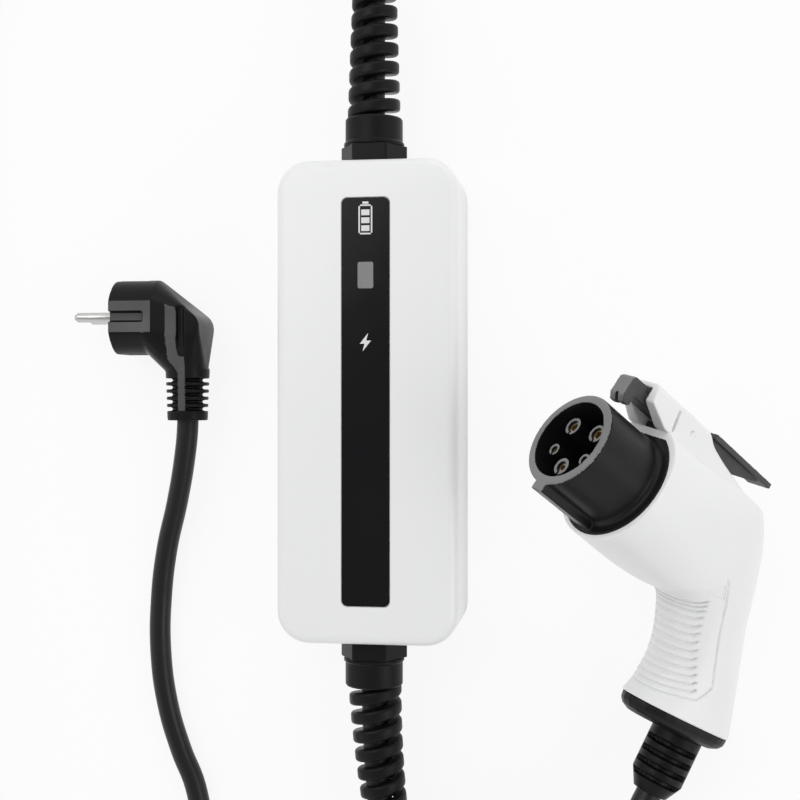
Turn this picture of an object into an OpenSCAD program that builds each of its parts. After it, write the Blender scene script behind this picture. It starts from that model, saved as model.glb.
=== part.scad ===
// Portable charger for an electric car: a control box with a mains lead and a vehicle lead.
// Millimetres. The box lies on its back: +Z is out of its front, +Y is towards the mains lead.

/* [Control box] */
// Width of the box
box_w = 84; // [76:1:100]
// Length of the box without its glands
box_l = 222; // [206:1:240]
// Thickness of the box from back to front
box_t = 50; // [46:1:64]
// Radius of the box's four upright corners
box_corner_r = 15; // [10:0.5:20]
// Radius of the rounded edge around the front
box_edge_r = 5; // [3:0.5:7]
// Wall of both covers
box_wall = 2.6; // [2:0.1:3.2]
// Height of the shallow rear cover
rear_h = 10; // [9:0.5:11]
// Thickness of the gasket between the covers
gasket_t = 0.8; // [0.4:0.1:1.2]
// Width of the gasket's rim
gasket_w = 1.8; // [1.2:0.1:2]
// Diameter of the cover screws
screw_d = 3; // [2.5:0.1:4]
// Length of the cover screws' shanks
screw_l = 18; // [14:1:20]
// Distance of the cover screws from the box's sides
screw_edge = 10; // [9:0.5:12]
// Distance of the cover screws from the box's ends
screw_end = 14; // [12:0.5:16]

/* [Front label] */
// Width of the label panel
label_w = 22; // [16:0.5:30]
// Length of the label panel
label_l = 186; // [150:1:190]
// Thickness of the label panel
label_t = 0.7; // [0.4:0.1:1]
// Radius of the label's corners
label_r = 2.7; // [1:0.1:5]
// Width of the indicator window
window_w = 7.2; // [5:0.2:10]
// Length of the indicator window
window_l = 12; // [8:0.5:16]
// Height of the window above the label's middle
window_y = 57.7; // [40:0.1:64]

/* [Inside the box] */
// Width of the circuit board
board_w = 64; // [58:1:66]
// Length of the circuit board
board_l = 170; // [160:1:176]
// Thickness of the circuit board
board_t = 1.6; // [1:0.2:2.4]
// Height of the board's posts above the box's floor
board_post_h = 6; // [4:0.5:7]

/* [Glands] */
// Height of both glands above the box's back
gland_z = 26; // [25:0.5:30]
// Size of the gland's hexagon across its flats
gland_af = 27.5; // [26.5:0.5:29]
// Height of the gland's hexagon
gland_hex_h = 9; // [7:0.5:11]
// Thread diameter of the gland
gland_thread_d = 20; // [19:0.2:21]
// Length of the smooth collar of the gland's nut
collar_h = 13.5; // [12:0.5:14]
// Diameter of the collar at the hexagon
collar_d = 27.5; // [26.5:0.5:28.5]
// Length of the spiral tail
tail_l = 84; // [74:1:86]
// Pitch of the spiral tail
tail_pitch = 8.8; // [7:0.1:11]
// Width of the spiral's ribbon along the cord
ribbon_w = 6; // [4:0.1:6.4]
// Diameter of the spiral at the collar
tail_d1 = 26.6; // [24:0.2:27]
// Diameter of the spiral at its end
tail_d2 = 21; // [19:0.2:23]

/* [Cords] */
// Diameter of the mains lead
mains_d = 10.4; // [9:0.1:11]
// Diameter of the vehicle lead
vehicle_d = 12; // [11:0.1:12.4]
// Mean radius of the vehicle lead's coil
coil_r = 65; // [60:1:70]
// Width of the tape around the coil
tie_w = 16; // [10:1:24]

/* [Mains plug] */
// Diameter of the plug's round front
plug_d = 37; // [35:0.2:38]
// Depth of the plug's round front
plug_front_l = 21; // [20:0.5:26]
// Distance between the plug's two guide flats
plug_flat = 33.5; // [32:0.1:34.4]
// Diameter of the plug's pins
pin_d = 4.8; // [4:0.1:5]
// Length of the plug's pins
pin_l = 19; // [17:0.5:20]
// Distance between the plug's pins
pin_gap = 19; // [18:0.2:20]
// Thickness of the plug's rear grip
grip_t = 27; // [25:0.5:30]
// Distance of the plug's cord behind its round front
cord_x = 13.5; // [12:0.5:15]
// Width of the plug's strain relief
relief_w = 21.5; // [19:0.5:24]

/* [Connector nose] */
// Outer diameter of the nose
nose_d = 43.8; // [42:0.1:44]
// Inner diameter of the nose
nose_bore_d = 36; // [35:0.1:37]
// Length of the nose in front of its flange
nose_l = 33; // [30:0.5:36]
// Radius of the flange
flange_r = 27; // [26:0.2:27.6]
// Thickness of the flange
flange_t = 3; // [2:0.2:4]
// Height of the flange's flat top above the nose's middle
flange_flat = 23.4; // [22.8:0.2:25.4]
// Width of the key under the nose
key_w = 7.3; // [5:0.1:9]
// Height of the key under the nose
key_h = 3.5; // [2:0.1:4.5]
// Depth of the contacts behind the nose's rim
contact_depth = 4.5; // [3:0.5:8]
// Distance between the two power contacts
power_gap = 16.4; // [15:0.1:17]
// Distance between the two signal contacts
signal_gap = 21; // [20:0.1:22]

/* [Connector body] */
// Wall of the connector's housing
gun_wall = 2.6; // [2:0.1:3.2]
// Length of the straight head behind the flange
head_l = 47; // [45:0.5:50]
// Radius of the bend from head to handle
bend_r = 38; // [37:0.5:42]
// Angle between the head's axis and the handle's
bend_angle = 58; // [55:0.5:60]
// Length of the straight handle
handle_l = 56; // [52:1:60]
// Height of the flat deck under the top cover
deck_z = 27; // [26.4:0.1:28]
// Height of the top cover above the nose's middle
cover_top = 42; // [41.4:0.2:44]
// Half width of the top cover at the deck
cover_half_w = 12.5; // [11.5:0.5:13]
// How far the top cover reaches in front of the flange
visor_l = 14; // [8:0.5:15]
// Length of the end cap
end_cap_l = 7; // [5:0.5:9]
// Length of the cord's boot
boot_l = 30; // [24:1:36]
// Number of grip grooves round the handle's front
grip_count = 13; // [6:1:13]

/* [Latch] */
// Width of the latch lever
lever_w = 9; // [7:0.2:9.4]
// Width of the slot that the lever moves in
lever_slot = 10; // [10:0.2:12]
// Diameter of the lever's pin
pivot_d = 3; // [2.4:0.1:3.4]
// Distance of the lever's pin behind the flange
pivot_back = 14; // [12:0.5:16]
// Height of the lever's pin above the nose's middle
pivot_z = 34; // [33.6:0.1:34.4]

/* [Where the connector lies] */
// Place of the flange's middle, to the right of the box's middle
gun_x = 112.5; // [108:0.5:120]
// Place of the flange's middle, towards the mains lead
gun_y = -33; // [-40:0.5:-26]
// Height of the flange's middle above the floor
gun_z = 70.5; // [70.4:0.1:80]
// Direction of the nose as seen from above
gun_yaw = 138; // [133:1:142]
// Rise of the nose above the floor
gun_rise = 36; // [32:1:40]
// Roll of the connector about its nose
gun_roll = 106; // [102:1:110]

/* [Hidden] */
$fn = 48;
eps = 0.01;
far = 200;
fit = 0.2;
WHITE = "whitesmoke";
BLACK = "#1c1c1e";
DARK = "#3a3a3c";
METAL = "silver";
BRASS = "goldenrod";

// The box
cavity_top = box_t - box_wall;
split_z = rear_h + gasket_t;
screw_at = [box_w / 2 - screw_edge, box_l / 2 - screw_end];
boss_d = screw_d + 5;
screw_head_d = 2 * screw_d;
screw_head_h = 2.4;
screw_sink = 4;
foot_inset = 2;
foot_h = 2;
board_z = box_wall + board_post_h;
board_top = board_z + board_t;
post_at = [board_w / 2 - 4, board_l / 2 - 5];
post_d = 6.5;

// The glands, along +Y from the box's end wall
spigot_d = 17;
spigot_h = collar_h - ribbon_w - 0.5;
seal_l = 10;
seal_wall = 1.6;
locknut_h = 4.5;
locknut_af = 25;
cord_room = 0.6;
steps_per_turn = 18;

// The plug's middle, with its pins along -X
plug_at = [-107.5, 41, plug_flat / 2];
relief_top = -28;
relief_end = -50;

// The connector's own frame: +X along the nose, +Z away from the handle, origin in the flange's front
deg = 180 / PI;
bend_l = bend_r * bend_angle / deg;
gun_l = head_l + bend_l + handle_l;
end_tilt = 24;
end_run = 40;
contact_floor = 4;
carrier_back = -18;
sleeve_front = nose_l - contact_depth;
power_z = 7.4;
earth_z = -11;
signal_z = -5;
cover_back = -70;
button_w = 14;
contact_kinds = [
    [power_gap / 2, power_z, 8.2, 5.2, 3.6],
    [-power_gap / 2, power_z, 8.2, 5.2, 3.6],
    [0, earth_z, 8, 4.6, 2.8],
    [signal_gap / 2, signal_z, 5.6, 3, 1.6],
    [-signal_gap / 2, signal_z, 5.6, 3, 1.6]
];
// Along the connector: place, reach up, reach down, half width, squareness
gun_form = [
    [0, 30, 28.6, 29, 2.2],
    [24, 31, 28.6, 29, 2.3],
    [40, 33, 27.6, 28.4, 2.7],
    [54, 35.5, 25.5, 26.5, 3],
    [66, 28.5, 22.5, 24, 2.8],
    [76, 24, 20, 21.4, 2.5],
    [88, 22, 18.6, 19.6, 2.3],
    [106, 22, 19.6, 19, 2.2],
    [124, 21.5, 27.6, 19.4, 2.2],
    [142, 21, 37.4, 20.4, 2.2],
    [160, 20.5, 42, 20.6, 2.2]
];
// Top of the cover along the head: place, height
cover_form = [
    [-visor_l, cover_top], [0, cover_top], [24, cover_top], [28, cover_top - 3],
    [32, cover_top - 4.8], [40, cover_top - 7], [50, cover_top - 9.6], [58, cover_top - 11.8],
    [66, cover_top - 13.8], [-cover_back, cover_top - 14.6]
];
cover_places = [-visor_l, 0, 12, 24, 26, 28, 30, 32, 36, 40, 45, 50, 54, 58, 64, -cover_back];

// The cords' routes: through the glands' tails, over the floor, into the plug, the coil and the boot
tail_start = gland_hex_h + collar_h - ribbon_w / 2 - fit;
mains_tail = [0, 1.5];
vehicle_tail = [-5, 4.5];
mains_floor = [
    [-1.6, 226, 22.6], [-6.2, 237, 19.8], [-13.5, 246.5, 16.4], [-23, 253.8, 12.9], [-34, 258.4, 9.8],
    [-46, 260, 7.4], [-60, 260, 5.9], [-76, 260, 5.3], [-100, 260, 5.2], [-126, 260, 5.2],
    [-149, 257, 5.2], [-171, 248, 5.2], [-189.6, 233.6, 5.2], [-204, 215, 5.2], [-213, 193, 5.2],
    [-216, 170, 5.2], [-216, 130, 5.2], [-216, 70, 5.2], [-216, 10, 5.2], [-216, -50, 5.2],
    [-216, -110, 5.2], [-216, -170, 5.2], [-216, -208, 5.2], [-212, -229.4, 5.2], [-201.4, -248, 5.2],
    [-184.8, -262, 5.2], [-164.4, -269.6, 5.2], [-142.6, -269.6, 5.2], [-122, -262, 5.2],
    [-105.6, -248, 5.2], [-94.8, -229.4, 5.2], [-91, -208, 5.2], [-93.6, -191, 5.2], [-101, -173, 5.2],
    [-108, -150, 5.2], [-111.5, -124, 5.2], [-111, -98, 5.8], [-107.5, -73, 7.5], [-101, -49, 11],
    [-96, -27, 15]
];
mains_route = concat(
    [[0, box_l / 2 - 12, gland_z]],
    [for (k = [0:4]) on_tail(1, tail_l * k / 4, mains_tail)],
    mains_floor,
    [for (d = [-3, 10]) plug_at + [cord_x, relief_end + d, 0]]
);
coil_at = [60, -282];
coil_w = 2 * vehicle_d;
tie_t = 0.6;
coil_lift = tie_t + fit;
coil_h = 4 * vehicle_d;
coil_lane = coil_r + vehicle_d / 2;
feed_route = concat(
    [[0, 12 - box_l / 2, gland_z]],
    [for (k = [0:4]) on_tail(-1, tail_l * k / 4, vehicle_tail)],
    [[3.7, -226.1, 19.2], [1.1, -237, 16.5], [-6.7, -254.8, 10.9], [-9.7, -266.9, 8.5]],
    [[coil_at[0] - coil_lane, coil_at[1], vehicle_d / 2 + coil_lift]]
);
lead_route = concat(
    [[coil_at[0] + coil_lane, coil_at[1], 1.5 * vehicle_d + coil_lift]],
    [[130.1, -268.8, 19.6], [125.1, -249.4, 22.7], [119.3, -228.4, 26.8], [118.3, -216.5, 28], [119.5, -201.2, 28.5]],
    [for (d = [1.3 * boot_l, boot_l, boot_l / 2, -4]) boot_point(d)]
);

// Shared shapes

function unit(v) = v / norm(v);
function sgn_pow(x, p) = sign(x) * pow(abs(x), p);

// A closed solid through rings of equally many points, each anticlockwise about the way ahead
module loft(rings) {
    n = len(rings[0]);
    m = len(rings);
    sides = [
        for (j = [0:m - 2], i = [0:n - 1])
            let (a = j * n + i, b = j * n + (i + 1) % n)
                each [[a, a + n, b + n], [a, b + n, b]]
    ];
    start = [for (i = [0:n - 1]) i];
    end = [for (i = [n - 1:-1:0]) (m - 1) * n + i];
    polyhedron([for (r = rings) each r], concat([start], sides, [end]), convexity = 8);
}

// A smooth value from a table whose first column is the place
function row_before(t, s, i = 0) = i >= len(t) - 2 || s <= t[i + 1][0] ? i : row_before(t, s, i + 1);
function smooth(t, s, c) =
    let (
        i = row_before(t, s),
        a = t[max(i - 1, 0)], b = t[i], d = t[i + 1], e = t[min(i + 2, len(t) - 1)],
        h = d[0] - b[0], u = (s - b[0]) / h,
        m0 = (d[c] - a[c]) / (d[0] - a[0]) * h, m1 = (e[c] - b[c]) / (e[0] - b[0]) * h
    )
    (2 * u ^ 3 - 3 * u ^ 2 + 1) * b[c] + (u ^ 3 - 2 * u ^ 2 + u) * m0
    + (3 * u ^ 2 - 2 * u ^ 3) * d[c] + (u ^ 3 - u ^ 2) * m1;

module round_rect(w, l, r) {
    square([w - 2 * r, l], center = true);
    square([w, l - 2 * r], center = true);
    for (x = [-1, 1], y = [-1, 1])
        translate([x * (w / 2 - r), y * (l / 2 - r)]) circle(r);
}

function round_rect_ring(w, l, r, z, n = 8) = [
    for (q = [0:3], i = [0:n])
        let (sx = q == 0 || q == 3 ? 1 : -1, sy = q < 2 ? 1 : -1, a = 90 * q + 90 * i / n)
            [sx * (w / 2 - r) + r * cos(a), sy * (l / 2 - r) + r * sin(a), z]
];

// A plate with round corners standing on z
module plate(w, l, r, z, h) {
    translate([0, 0, z]) linear_extrude(h) round_rect(w, l, r);
}

module mirrored_corners(at) {
    for (x = [-1, 1], y = [-1, 1]) translate([x * at[0], y * at[1], 0]) children();
}

// Children drawn along +Z point along +Y
module along_y() {
    rotate([-90, 0, 0]) children();
}

// Children drawn along +Z point along +X
module along_x() {
    rotate([0, 90, 0]) children();
}

// A round cord swept along its route
function route_way(p, i) = unit(p[min(i + 1, len(p) - 1)] - p[max(i - 1, 0)]);
function cord_ring(c, t, d, n) =
    let (e1 = unit(cross(t, [0.02, 0.03, 1])), e2 = cross(t, e1))
        [for (i = [0:n - 1]) c + d / 2 * (e1 * cos(360 * i / n) + e2 * sin(360 * i / n))];
module cord(route, d) {
    loft([for (i = [0:len(route) - 1]) cord_ring(route[i], route_way(route, i), d, 10)]);
}

// The box

module box_front_cover() {
    fillet_steps = 5;
    outer = concat(
        [round_rect_ring(box_w, box_l, box_corner_r, split_z)],
        [for (i = [0:fillet_steps])
            let (a = 90 * i / fillet_steps, inset = box_edge_r * (1 - cos(a)))
                round_rect_ring(box_w - 2 * inset, box_l - 2 * inset, box_corner_r - inset,
                    box_t - box_edge_r * (1 - sin(a)))]
    );
    color(WHITE) difference() {
        union() {
            difference() {
                loft(outer);
                plate(box_w - 2 * box_wall, box_l - 2 * box_wall, box_corner_r - box_wall,
                    split_z - 1, cavity_top - split_z + 1);
            }
            mirrored_corners(screw_at)
                translate([0, 0, split_z]) cylinder(d = boss_d, h = cavity_top - split_z + 0.5);
        }
        mirrored_corners(screw_at)
            translate([0, 0, split_z - 1]) cylinder(d = screw_d + fit, h = 16);
        for (side = [-1, 1])
            translate([0, side * (box_l / 2 - box_wall / 2), gland_z])
                along_y() cylinder(d = gland_thread_d + fit, h = 3 * box_wall, center = true);
        plate(label_w + fit, label_l + fit, label_r, box_t - label_t, 2);
        translate([0, window_y, 0])
            plate(window_w + fit, window_l + fit, 1, cavity_top - 1, 2 * box_wall);
    }
}

module box_rear_cover() {
    color(WHITE) difference() {
        union() {
            difference() {
                union() {
                    plate(box_w - 2 * foot_inset, box_l - 2 * foot_inset, box_corner_r - foot_inset, 0, foot_h + 1);
                    plate(box_w, box_l, box_corner_r, foot_h, rear_h - foot_h);
                }
                plate(box_w - 2 * box_wall, box_l - 2 * box_wall, box_corner_r - box_wall, box_wall + foot_h - 1, rear_h);
            }
            mirrored_corners(screw_at) translate([0, 0, 1]) cylinder(d = boss_d, h = split_z - 1);
            mirrored_corners(post_at) translate([0, 0, 1]) cylinder(d = post_d, h = board_z - 1);
        }
        mirrored_corners(screw_at) {
            translate([0, 0, -1]) cylinder(d = screw_d + fit, h = box_t);
            translate([0, 0, -1]) cylinder(d = screw_head_d + 2 * fit, h = screw_sink + 1);
        }
        mirrored_corners(post_at) translate([0, 0, box_wall + 1]) cylinder(d = screw_d - 0.6 + fit, h = box_t);
    }
}

module box_gasket() {
    color(DARK) difference() {
        plate(box_w - 0.8, box_l - 0.8, box_corner_r - 0.4, rear_h, gasket_t);
        plate(box_w - 0.8 - 2 * gasket_w, box_l - 0.8 - 2 * gasket_w, box_corner_r - 0.4 - gasket_w, rear_h - 1, gasket_t + 2);
    }
}

module box_screws() {
    color(METAL) mirrored_corners(screw_at) difference() {
        union() {
            translate([0, 0, screw_sink - screw_head_h]) cylinder(d = screw_head_d, h = screw_head_h);
            translate([0, 0, screw_sink - 0.5]) cylinder(d = screw_d, h = screw_l);
        }
        translate([0, 0, screw_sink - screw_head_h - 1]) cylinder(d = 2.6, h = 2.2, $fn = 6);
    }
}

module label_panel() {
    color(BLACK) difference() {
        plate(label_w, label_l, label_r, box_t - label_t, label_t + 0.1);
        translate([0, window_y, 0]) plate(window_w + fit, window_l + fit, 1, box_t - 2, 4);
    }
}

module indicator_lens() {
    flange = 1.5;
    color("gray") translate([0, window_y, 0]) {
        plate(window_w, window_l, 0.9, cavity_top - eps, box_wall + 0.1);
        plate(window_w + 2 * flange, window_l + 2 * flange, 1.2, cavity_top - 1.2, 1.2);
    }
}

module circuit_board() {
    color("darkgreen") difference() {
        plate(board_w, board_l, 3, board_z, board_t);
        mirrored_corners(post_at) translate([0, 0, board_z - 1]) cylinder(d = screw_d, h = board_t + 2);
    }
}

module board_screws() {
    shank = screw_d - 0.6;
    color(METAL) mirrored_corners(post_at) {
        translate([0, 0, board_top]) cylinder(d = 2 * shank, h = 1.6);
        translate([0, 0, box_wall + 2]) cylinder(d = shank, h = board_top - box_wall - 1.5);
    }
}

module power_relays() {
    color("darkblue") for (x = [-1, 1])
        translate([x * 15, -2, 0]) plate(13, 28, 0.8, board_top, 16);
}

module leakage_sensor() {
    color("darkorange") translate([0, -38, board_top]) rotate_extrude()
        translate([6, 0]) round_rect_half(8, 13, 2);
}

// A rectangle with round corners standing on the axis of its foot
module round_rect_half(w, h, r) {
    translate([w / 2, h / 2]) round_rect(w, h, r);
}

module power_module() {
    color("black") translate([-13, 36, 0]) plate(24, 32, 1, board_top, 18);
}

module filter_capacitors() {
    color("navy") for (y = [22, 36, 50])
        translate([19, y, board_top]) {
            cylinder(d = 12, h = 19);
            translate([0, 0, 18.9]) cylinder(d = 10, h = 0.6);
        }
}

module terminal_block(y) {
    color("seagreen") difference() {
        translate([-15, y - 6, board_top]) cube([30, 12, 13]);
        for (x = [-10, 0, 10]) {
            translate([x, y, board_top + 7]) cylinder(d = 5, h = 8);
            translate([x, y + sign(y) * 2, board_top + 4]) rotate([sign(y) * -90, 0, 0]) cylinder(d = 4, h = 8);
        }
    }
}

module mains_terminals() {
    terminal_block(board_l / 2 - 13);
}

module vehicle_terminals() {
    terminal_block(13 - board_l / 2);
}

module indicator_led() {
    color("lightgreen") translate([0, window_y, board_top]) {
        translate([-2.5, -2.5, 0]) cube([5, 5, 1.6]);
        translate([0, 0, 1.5]) cylinder(d = 3.4, h = 2);
    }
}

// The glands

module at_gland(side) {
    translate([0, side * box_l / 2, gland_z]) rotate([0, 0, side > 0 ? 0 : 180]) children();
}

module gland_body(cord_d) {
    seal_d = cord_d + 2 * seal_wall + fit;
    color(BLACK) difference() {
        union() {
            along_y() cylinder(d = gland_af / cos(30), h = gland_hex_h, $fn = 6);
            translate([0, -box_wall - locknut_h - 1.5, 0])
                along_y() cylinder(d = gland_thread_d - fit, h = box_wall + locknut_h + 2);
            translate([0, gland_hex_h - 0.5, 0]) along_y() cylinder(d = spigot_d, h = spigot_h + 0.5);
        }
        translate([0, -far / 2, 0]) along_y() cylinder(d = cord_d + 2 * cord_room, h = far);
        translate([0, gland_hex_h + spigot_h - seal_l, 0]) along_y() cylinder(d = seal_d, h = 30);
    }
}

module gland_locknut() {
    color(BLACK) difference() {
        translate([0, -box_wall - locknut_h, 0]) along_y() cylinder(d = locknut_af / cos(30), h = locknut_h, $fn = 6);
        translate([0, -30, 0]) along_y() cylinder(d = gland_thread_d + fit, h = 40);
    }
}

module gland_seal(cord_d) {
    color(DARK) difference() {
        translate([0, gland_hex_h + spigot_h - seal_l, 0]) along_y() cylinder(d = cord_d + 2 * seal_wall, h = seal_l);
        translate([0, -far / 2, 0]) along_y() cylinder(d = cord_d + fit, h = far);
    }
}

// Middle line of the tail, with how far it turns aside and drops at its end
function tail_axis(s, turn) = [turn[0] * (s / tail_l) ^ 2, s, -turn[1] * (s / tail_l) ^ 2];
function on_tail(side, s, turn) =
    let (a = tail_axis(s, turn)) [side * a[0], side * (box_l / 2 + tail_start + a[1]), gland_z + a[2]];
function tail_ring(s, turn, cord_d) =
    let (
        t = unit(tail_axis(s + 1, turn) - tail_axis(s - 1, turn)),
        e1 = unit(cross(t, [0, 0, 1])), e2 = cross(e1, t),
        a = 360 * s / tail_pitch,
        out = e1 * sin(a) + e2 * cos(a),
        r0 = cord_d / 2 + cord_room, r1 = (tail_d1 + (tail_d2 - tail_d1) * s / tail_l) / 2,
        h = ribbon_w / 2, edge = 1.2
    )
    [for (p = [[r0, -h], [r0, h], [r1 - edge, h], [r1, h - edge], [r1, edge - h], [r1 - edge, -h]])
        tail_axis(s, turn) + out * p[0] + t * p[1]];

// The nut: a smooth collar that runs out into a right-handed spiral round the cord
module gland_nut(cord_d, turn) {
    steps = floor(steps_per_turn * tail_l / tail_pitch);
    color(BLACK) union() {
        difference() {
            union() {
                translate([0, gland_hex_h, 0]) along_y() cylinder(d = collar_d + 1, h = 2);
                translate([0, gland_hex_h + 1, 0]) along_y()
                    cylinder(d1 = collar_d, d2 = tail_d1, h = collar_h - 1);
            }
            along_y() cylinder(d = cord_d + 2 * cord_room, h = far);
            along_y() cylinder(d = spigot_d + fit, h = gland_hex_h + spigot_h + fit);
        }
        translate([0, tail_start, 0])
            loft([for (i = [0:steps]) tail_ring(tail_l * i / steps, turn, cord_d)]);
    }
}

module mains_gland_body() {
    at_gland(1) gland_body(mains_d);
}

module mains_gland_locknut() {
    at_gland(1) gland_locknut();
}

module mains_gland_seal() {
    at_gland(1) gland_seal(mains_d);
}

module mains_gland_nut() {
    at_gland(1) gland_nut(mains_d, mains_tail);
}

module vehicle_gland_body() {
    at_gland(-1) gland_body(vehicle_d);
}

module vehicle_gland_locknut() {
    at_gland(-1) gland_locknut();
}

module vehicle_gland_seal() {
    at_gland(-1) gland_seal(vehicle_d);
}

module vehicle_gland_nut() {
    at_gland(-1) gland_nut(vehicle_d, vehicle_tail);
}

// The plug, with its round front behind the origin plane and its cord towards -Y

module at_plug() {
    translate(plug_at) children();
}

module plug_slab() {
    cube([far, far, plug_flat], center = true);
}

module plug_body() {
    groove_w = 5;
    groove_d = 2.4;
    recess_d = 1.4;
    relief_slots = 5;
    relief_ring = 4.6;
    relief_pitch = 3.5;
    color(BLACK) at_plug() difference() {
        union() {
            intersection() {
                translate([-plug_front_l, 0, 0]) along_x() cylinder(d = plug_d, h = plug_front_l - 4);
                plug_slab();
            }
            hull() {
                intersection() {
                    translate([-5, 0, 0]) along_x() cylinder(d = plug_d, h = 5, $fn = 40);
                    plug_slab();
                }
                translate([cord_x + 1.5, -5, 0]) cylinder(d = 16, h = grip_t, center = true, $fn = 32);
                translate([cord_x, relief_top + 1, 0]) along_y() cylinder(d = relief_w - 2, h = 2, $fn = 32);
            }
            translate([cord_x, relief_end, 0]) along_y()
                cylinder(d1 = relief_w - 2, d2 = relief_w, h = relief_top - relief_end + 3);
        }
        for (z = [-1, 1])
            translate([-plug_front_l - 1, -groove_w / 2, z * plug_flat / 2 - groove_d]) cube([18, groove_w, 2 * groove_d]);
        for (y = [-1, 1])
            translate([-plug_front_l - 1, y * plug_d / 2 - 2, -4]) cube([17, 4, 8]);
        for (k = [0:relief_slots - 1])
            translate([cord_x, relief_end + relief_ring + relief_pitch * k, 0]) relief_slot();
        for (z = [-1, 1])
            translate([cord_x + 0.6, -7, z * grip_t / 2]) cube([3.6, 24, 2 * recess_d], center = true);
        translate([cord_x, relief_end - 1, 0]) along_y() cylinder(d = mains_d + fit, h = 12);
    }
}

// One cut round the strain relief that leaves its core and the spine on either face
module relief_slot() {
    slot_w = 1.8;
    spine_w = 3.6;
    difference() {
        translate([0, slot_w / 2, 0]) cube([2 * relief_w, slot_w, 2 * relief_w], center = true);
        along_y() cylinder(d = mains_d + 4, h = 3 * slot_w, center = true);
        cube([spine_w, 3 * slot_w, 2 * relief_w], center = true);
    }
}

module plug_pins() {
    color(METAL) at_plug() for (z = [-1, 1])
        translate([-plug_front_l, 0, z * pin_gap / 2]) rotate([0, -90, 0]) {
            cylinder(d = pin_d, h = pin_l - 1.4);
            translate([0, 0, pin_l - 1.4]) cylinder(d1 = pin_d, d2 = pin_d - 2, h = 1.4);
        }
}

module plug_earth_contacts() {
    clip_t = 0.9;
    color(METAL) at_plug() for (y = [-1, 1])
        translate([-plug_front_l + 1, y * (plug_d / 2 - 2) - (y > 0 ? 0 : clip_t), -3.6]) cube([15, clip_t, 7.2]);
}

// The cords

module mains_cord() {
    color(BLACK) cord(mains_route, mains_d);
}

module vehicle_cord_feed() {
    color(BLACK) cord(feed_route, vehicle_d);
}

module vehicle_cord_lead() {
    color(BLACK) cord(lead_route, vehicle_d);
}

module vehicle_coil() {
    color(BLACK) translate([coil_at[0], coil_at[1], coil_h / 2 + coil_lift]) rotate_extrude()
        translate([coil_r, 0]) round_rect(coil_w, coil_h, vehicle_d / 2);
}

module coil_tie() {
    color(DARK) translate([coil_at[0], coil_at[1] - coil_r, coil_h / 2 + coil_lift])
        along_x() translate([0, 0, -tie_w / 2]) linear_extrude(tie_w) difference() {
            round_rect(coil_h + 2 * coil_lift, coil_w + 2 * coil_lift + 2, vehicle_d / 2);
            round_rect(coil_h + 2 * fit, coil_w + 2 + 2 * fit, vehicle_d / 2);
        }
}

// The connector

module in_gun() {
    translate([gun_x, gun_y, gun_z]) rotate([0, 0, gun_yaw]) rotate([0, -gun_rise, 0]) rotate([gun_roll, 0, 0])
        children();
}

function turn_x(p, a) = [p[0], p[1] * cos(a) - p[2] * sin(a), p[1] * sin(a) + p[2] * cos(a)];
function turn_y(p, a) = [p[0] * cos(a) + p[2] * sin(a), p[1], p[2] * cos(a) - p[0] * sin(a)];
function turn_z(p, a) = [p[0] * cos(a) - p[1] * sin(a), p[0] * sin(a) + p[1] * cos(a), p[2]];
function out_of_gun(p) =
    [gun_x, gun_y, gun_z] + turn_z(turn_y(turn_x(p, gun_roll), -gun_rise), gun_yaw);

// Place on the boot's axis, measured from the end cap's outer face
function boot_point(d) =
    let (c = gun_spine(gun_l), r = end_cap_l + d)
        out_of_gun([c[0] - r * cos(c[2]), 0, c[1] - r * sin(c[2])]);

// Middle line of the housing: place along the nose, height, tilt of the section
function gun_spine(s) =
    s <= head_l ? [-s, 0, 0]
    : s <= head_l + bend_l ?
        let (f = (s - head_l) / bend_r * deg) [-head_l - bend_r * sin(f), bend_r * (cos(f) - 1), f]
    : let (rest = s - head_l - bend_l, q = max(0, min(1, (s - gun_l + end_run) / end_run)))
        [-head_l - bend_r * sin(bend_angle) - rest * cos(bend_angle),
         bend_r * (cos(bend_angle) - 1) - rest * sin(bend_angle),
         bend_angle + end_tilt * q ^ 2];

// Section of the housing: reach to the front, then to the side
function gun_section(s, inset, n) =
    let (
        up = smooth(gun_form, s, 1) - inset, down = smooth(gun_form, s, 2) - inset,
        half = smooth(gun_form, s, 3) - inset, p = 2 / smooth(gun_form, s, 4)
    )
    [for (i = [0:n - 1])
        let (a = -360 * i / n)
            [-sgn_pow(sin(a), p) * (sin(a) > 0 ? up : down), half * sgn_pow(cos(a), p)]];

function gun_ring(s, inset, n, ahead = 0) =
    let (c = gun_spine(s), f = c[2])
    [for (q = gun_section(s, inset, n))
        [c[0] - ahead * cos(f) + q[0] * sin(f), q[1], c[1] - ahead * sin(f) - q[0] * cos(f)]];

module above(z) {
    translate([-far, -far / 2, z]) cube([2 * far, far, far]);
}

module flange_outline(r, flat, t) {
    intersection() {
        along_x() cylinder(r = r, h = t);
        translate([-1, -far / 2, -far]) cube([t + 2, far, far + flat]);
    }
}

module gun_housing() {
    outer_rings = 24;
    inner_rings = 14;
    cavity_start = 20;
    color(WHITE) in_gun() difference() {
        loft([for (i = [0:outer_rings]) gun_ring(gun_l * i / outer_rings, 0, 32)]);
        difference() {
            loft([for (i = [0:inner_rings])
                gun_ring(cavity_start + (gun_l + 2 - cavity_start) * i / inner_rings, gun_wall, 24)]);
            above(deck_z - gun_wall);
        }
        above(deck_z);
        translate([-flange_t - fit, 0, 0]) flange_outline(flange_r + fit, flange_flat + fit, flange_t + 2);
        translate([-cavity_start - 4, 0, 0]) along_x() cylinder(d = nose_bore_d + 4 + fit, h = cavity_start + 5);
        grip_grooves();
    }
}

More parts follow.
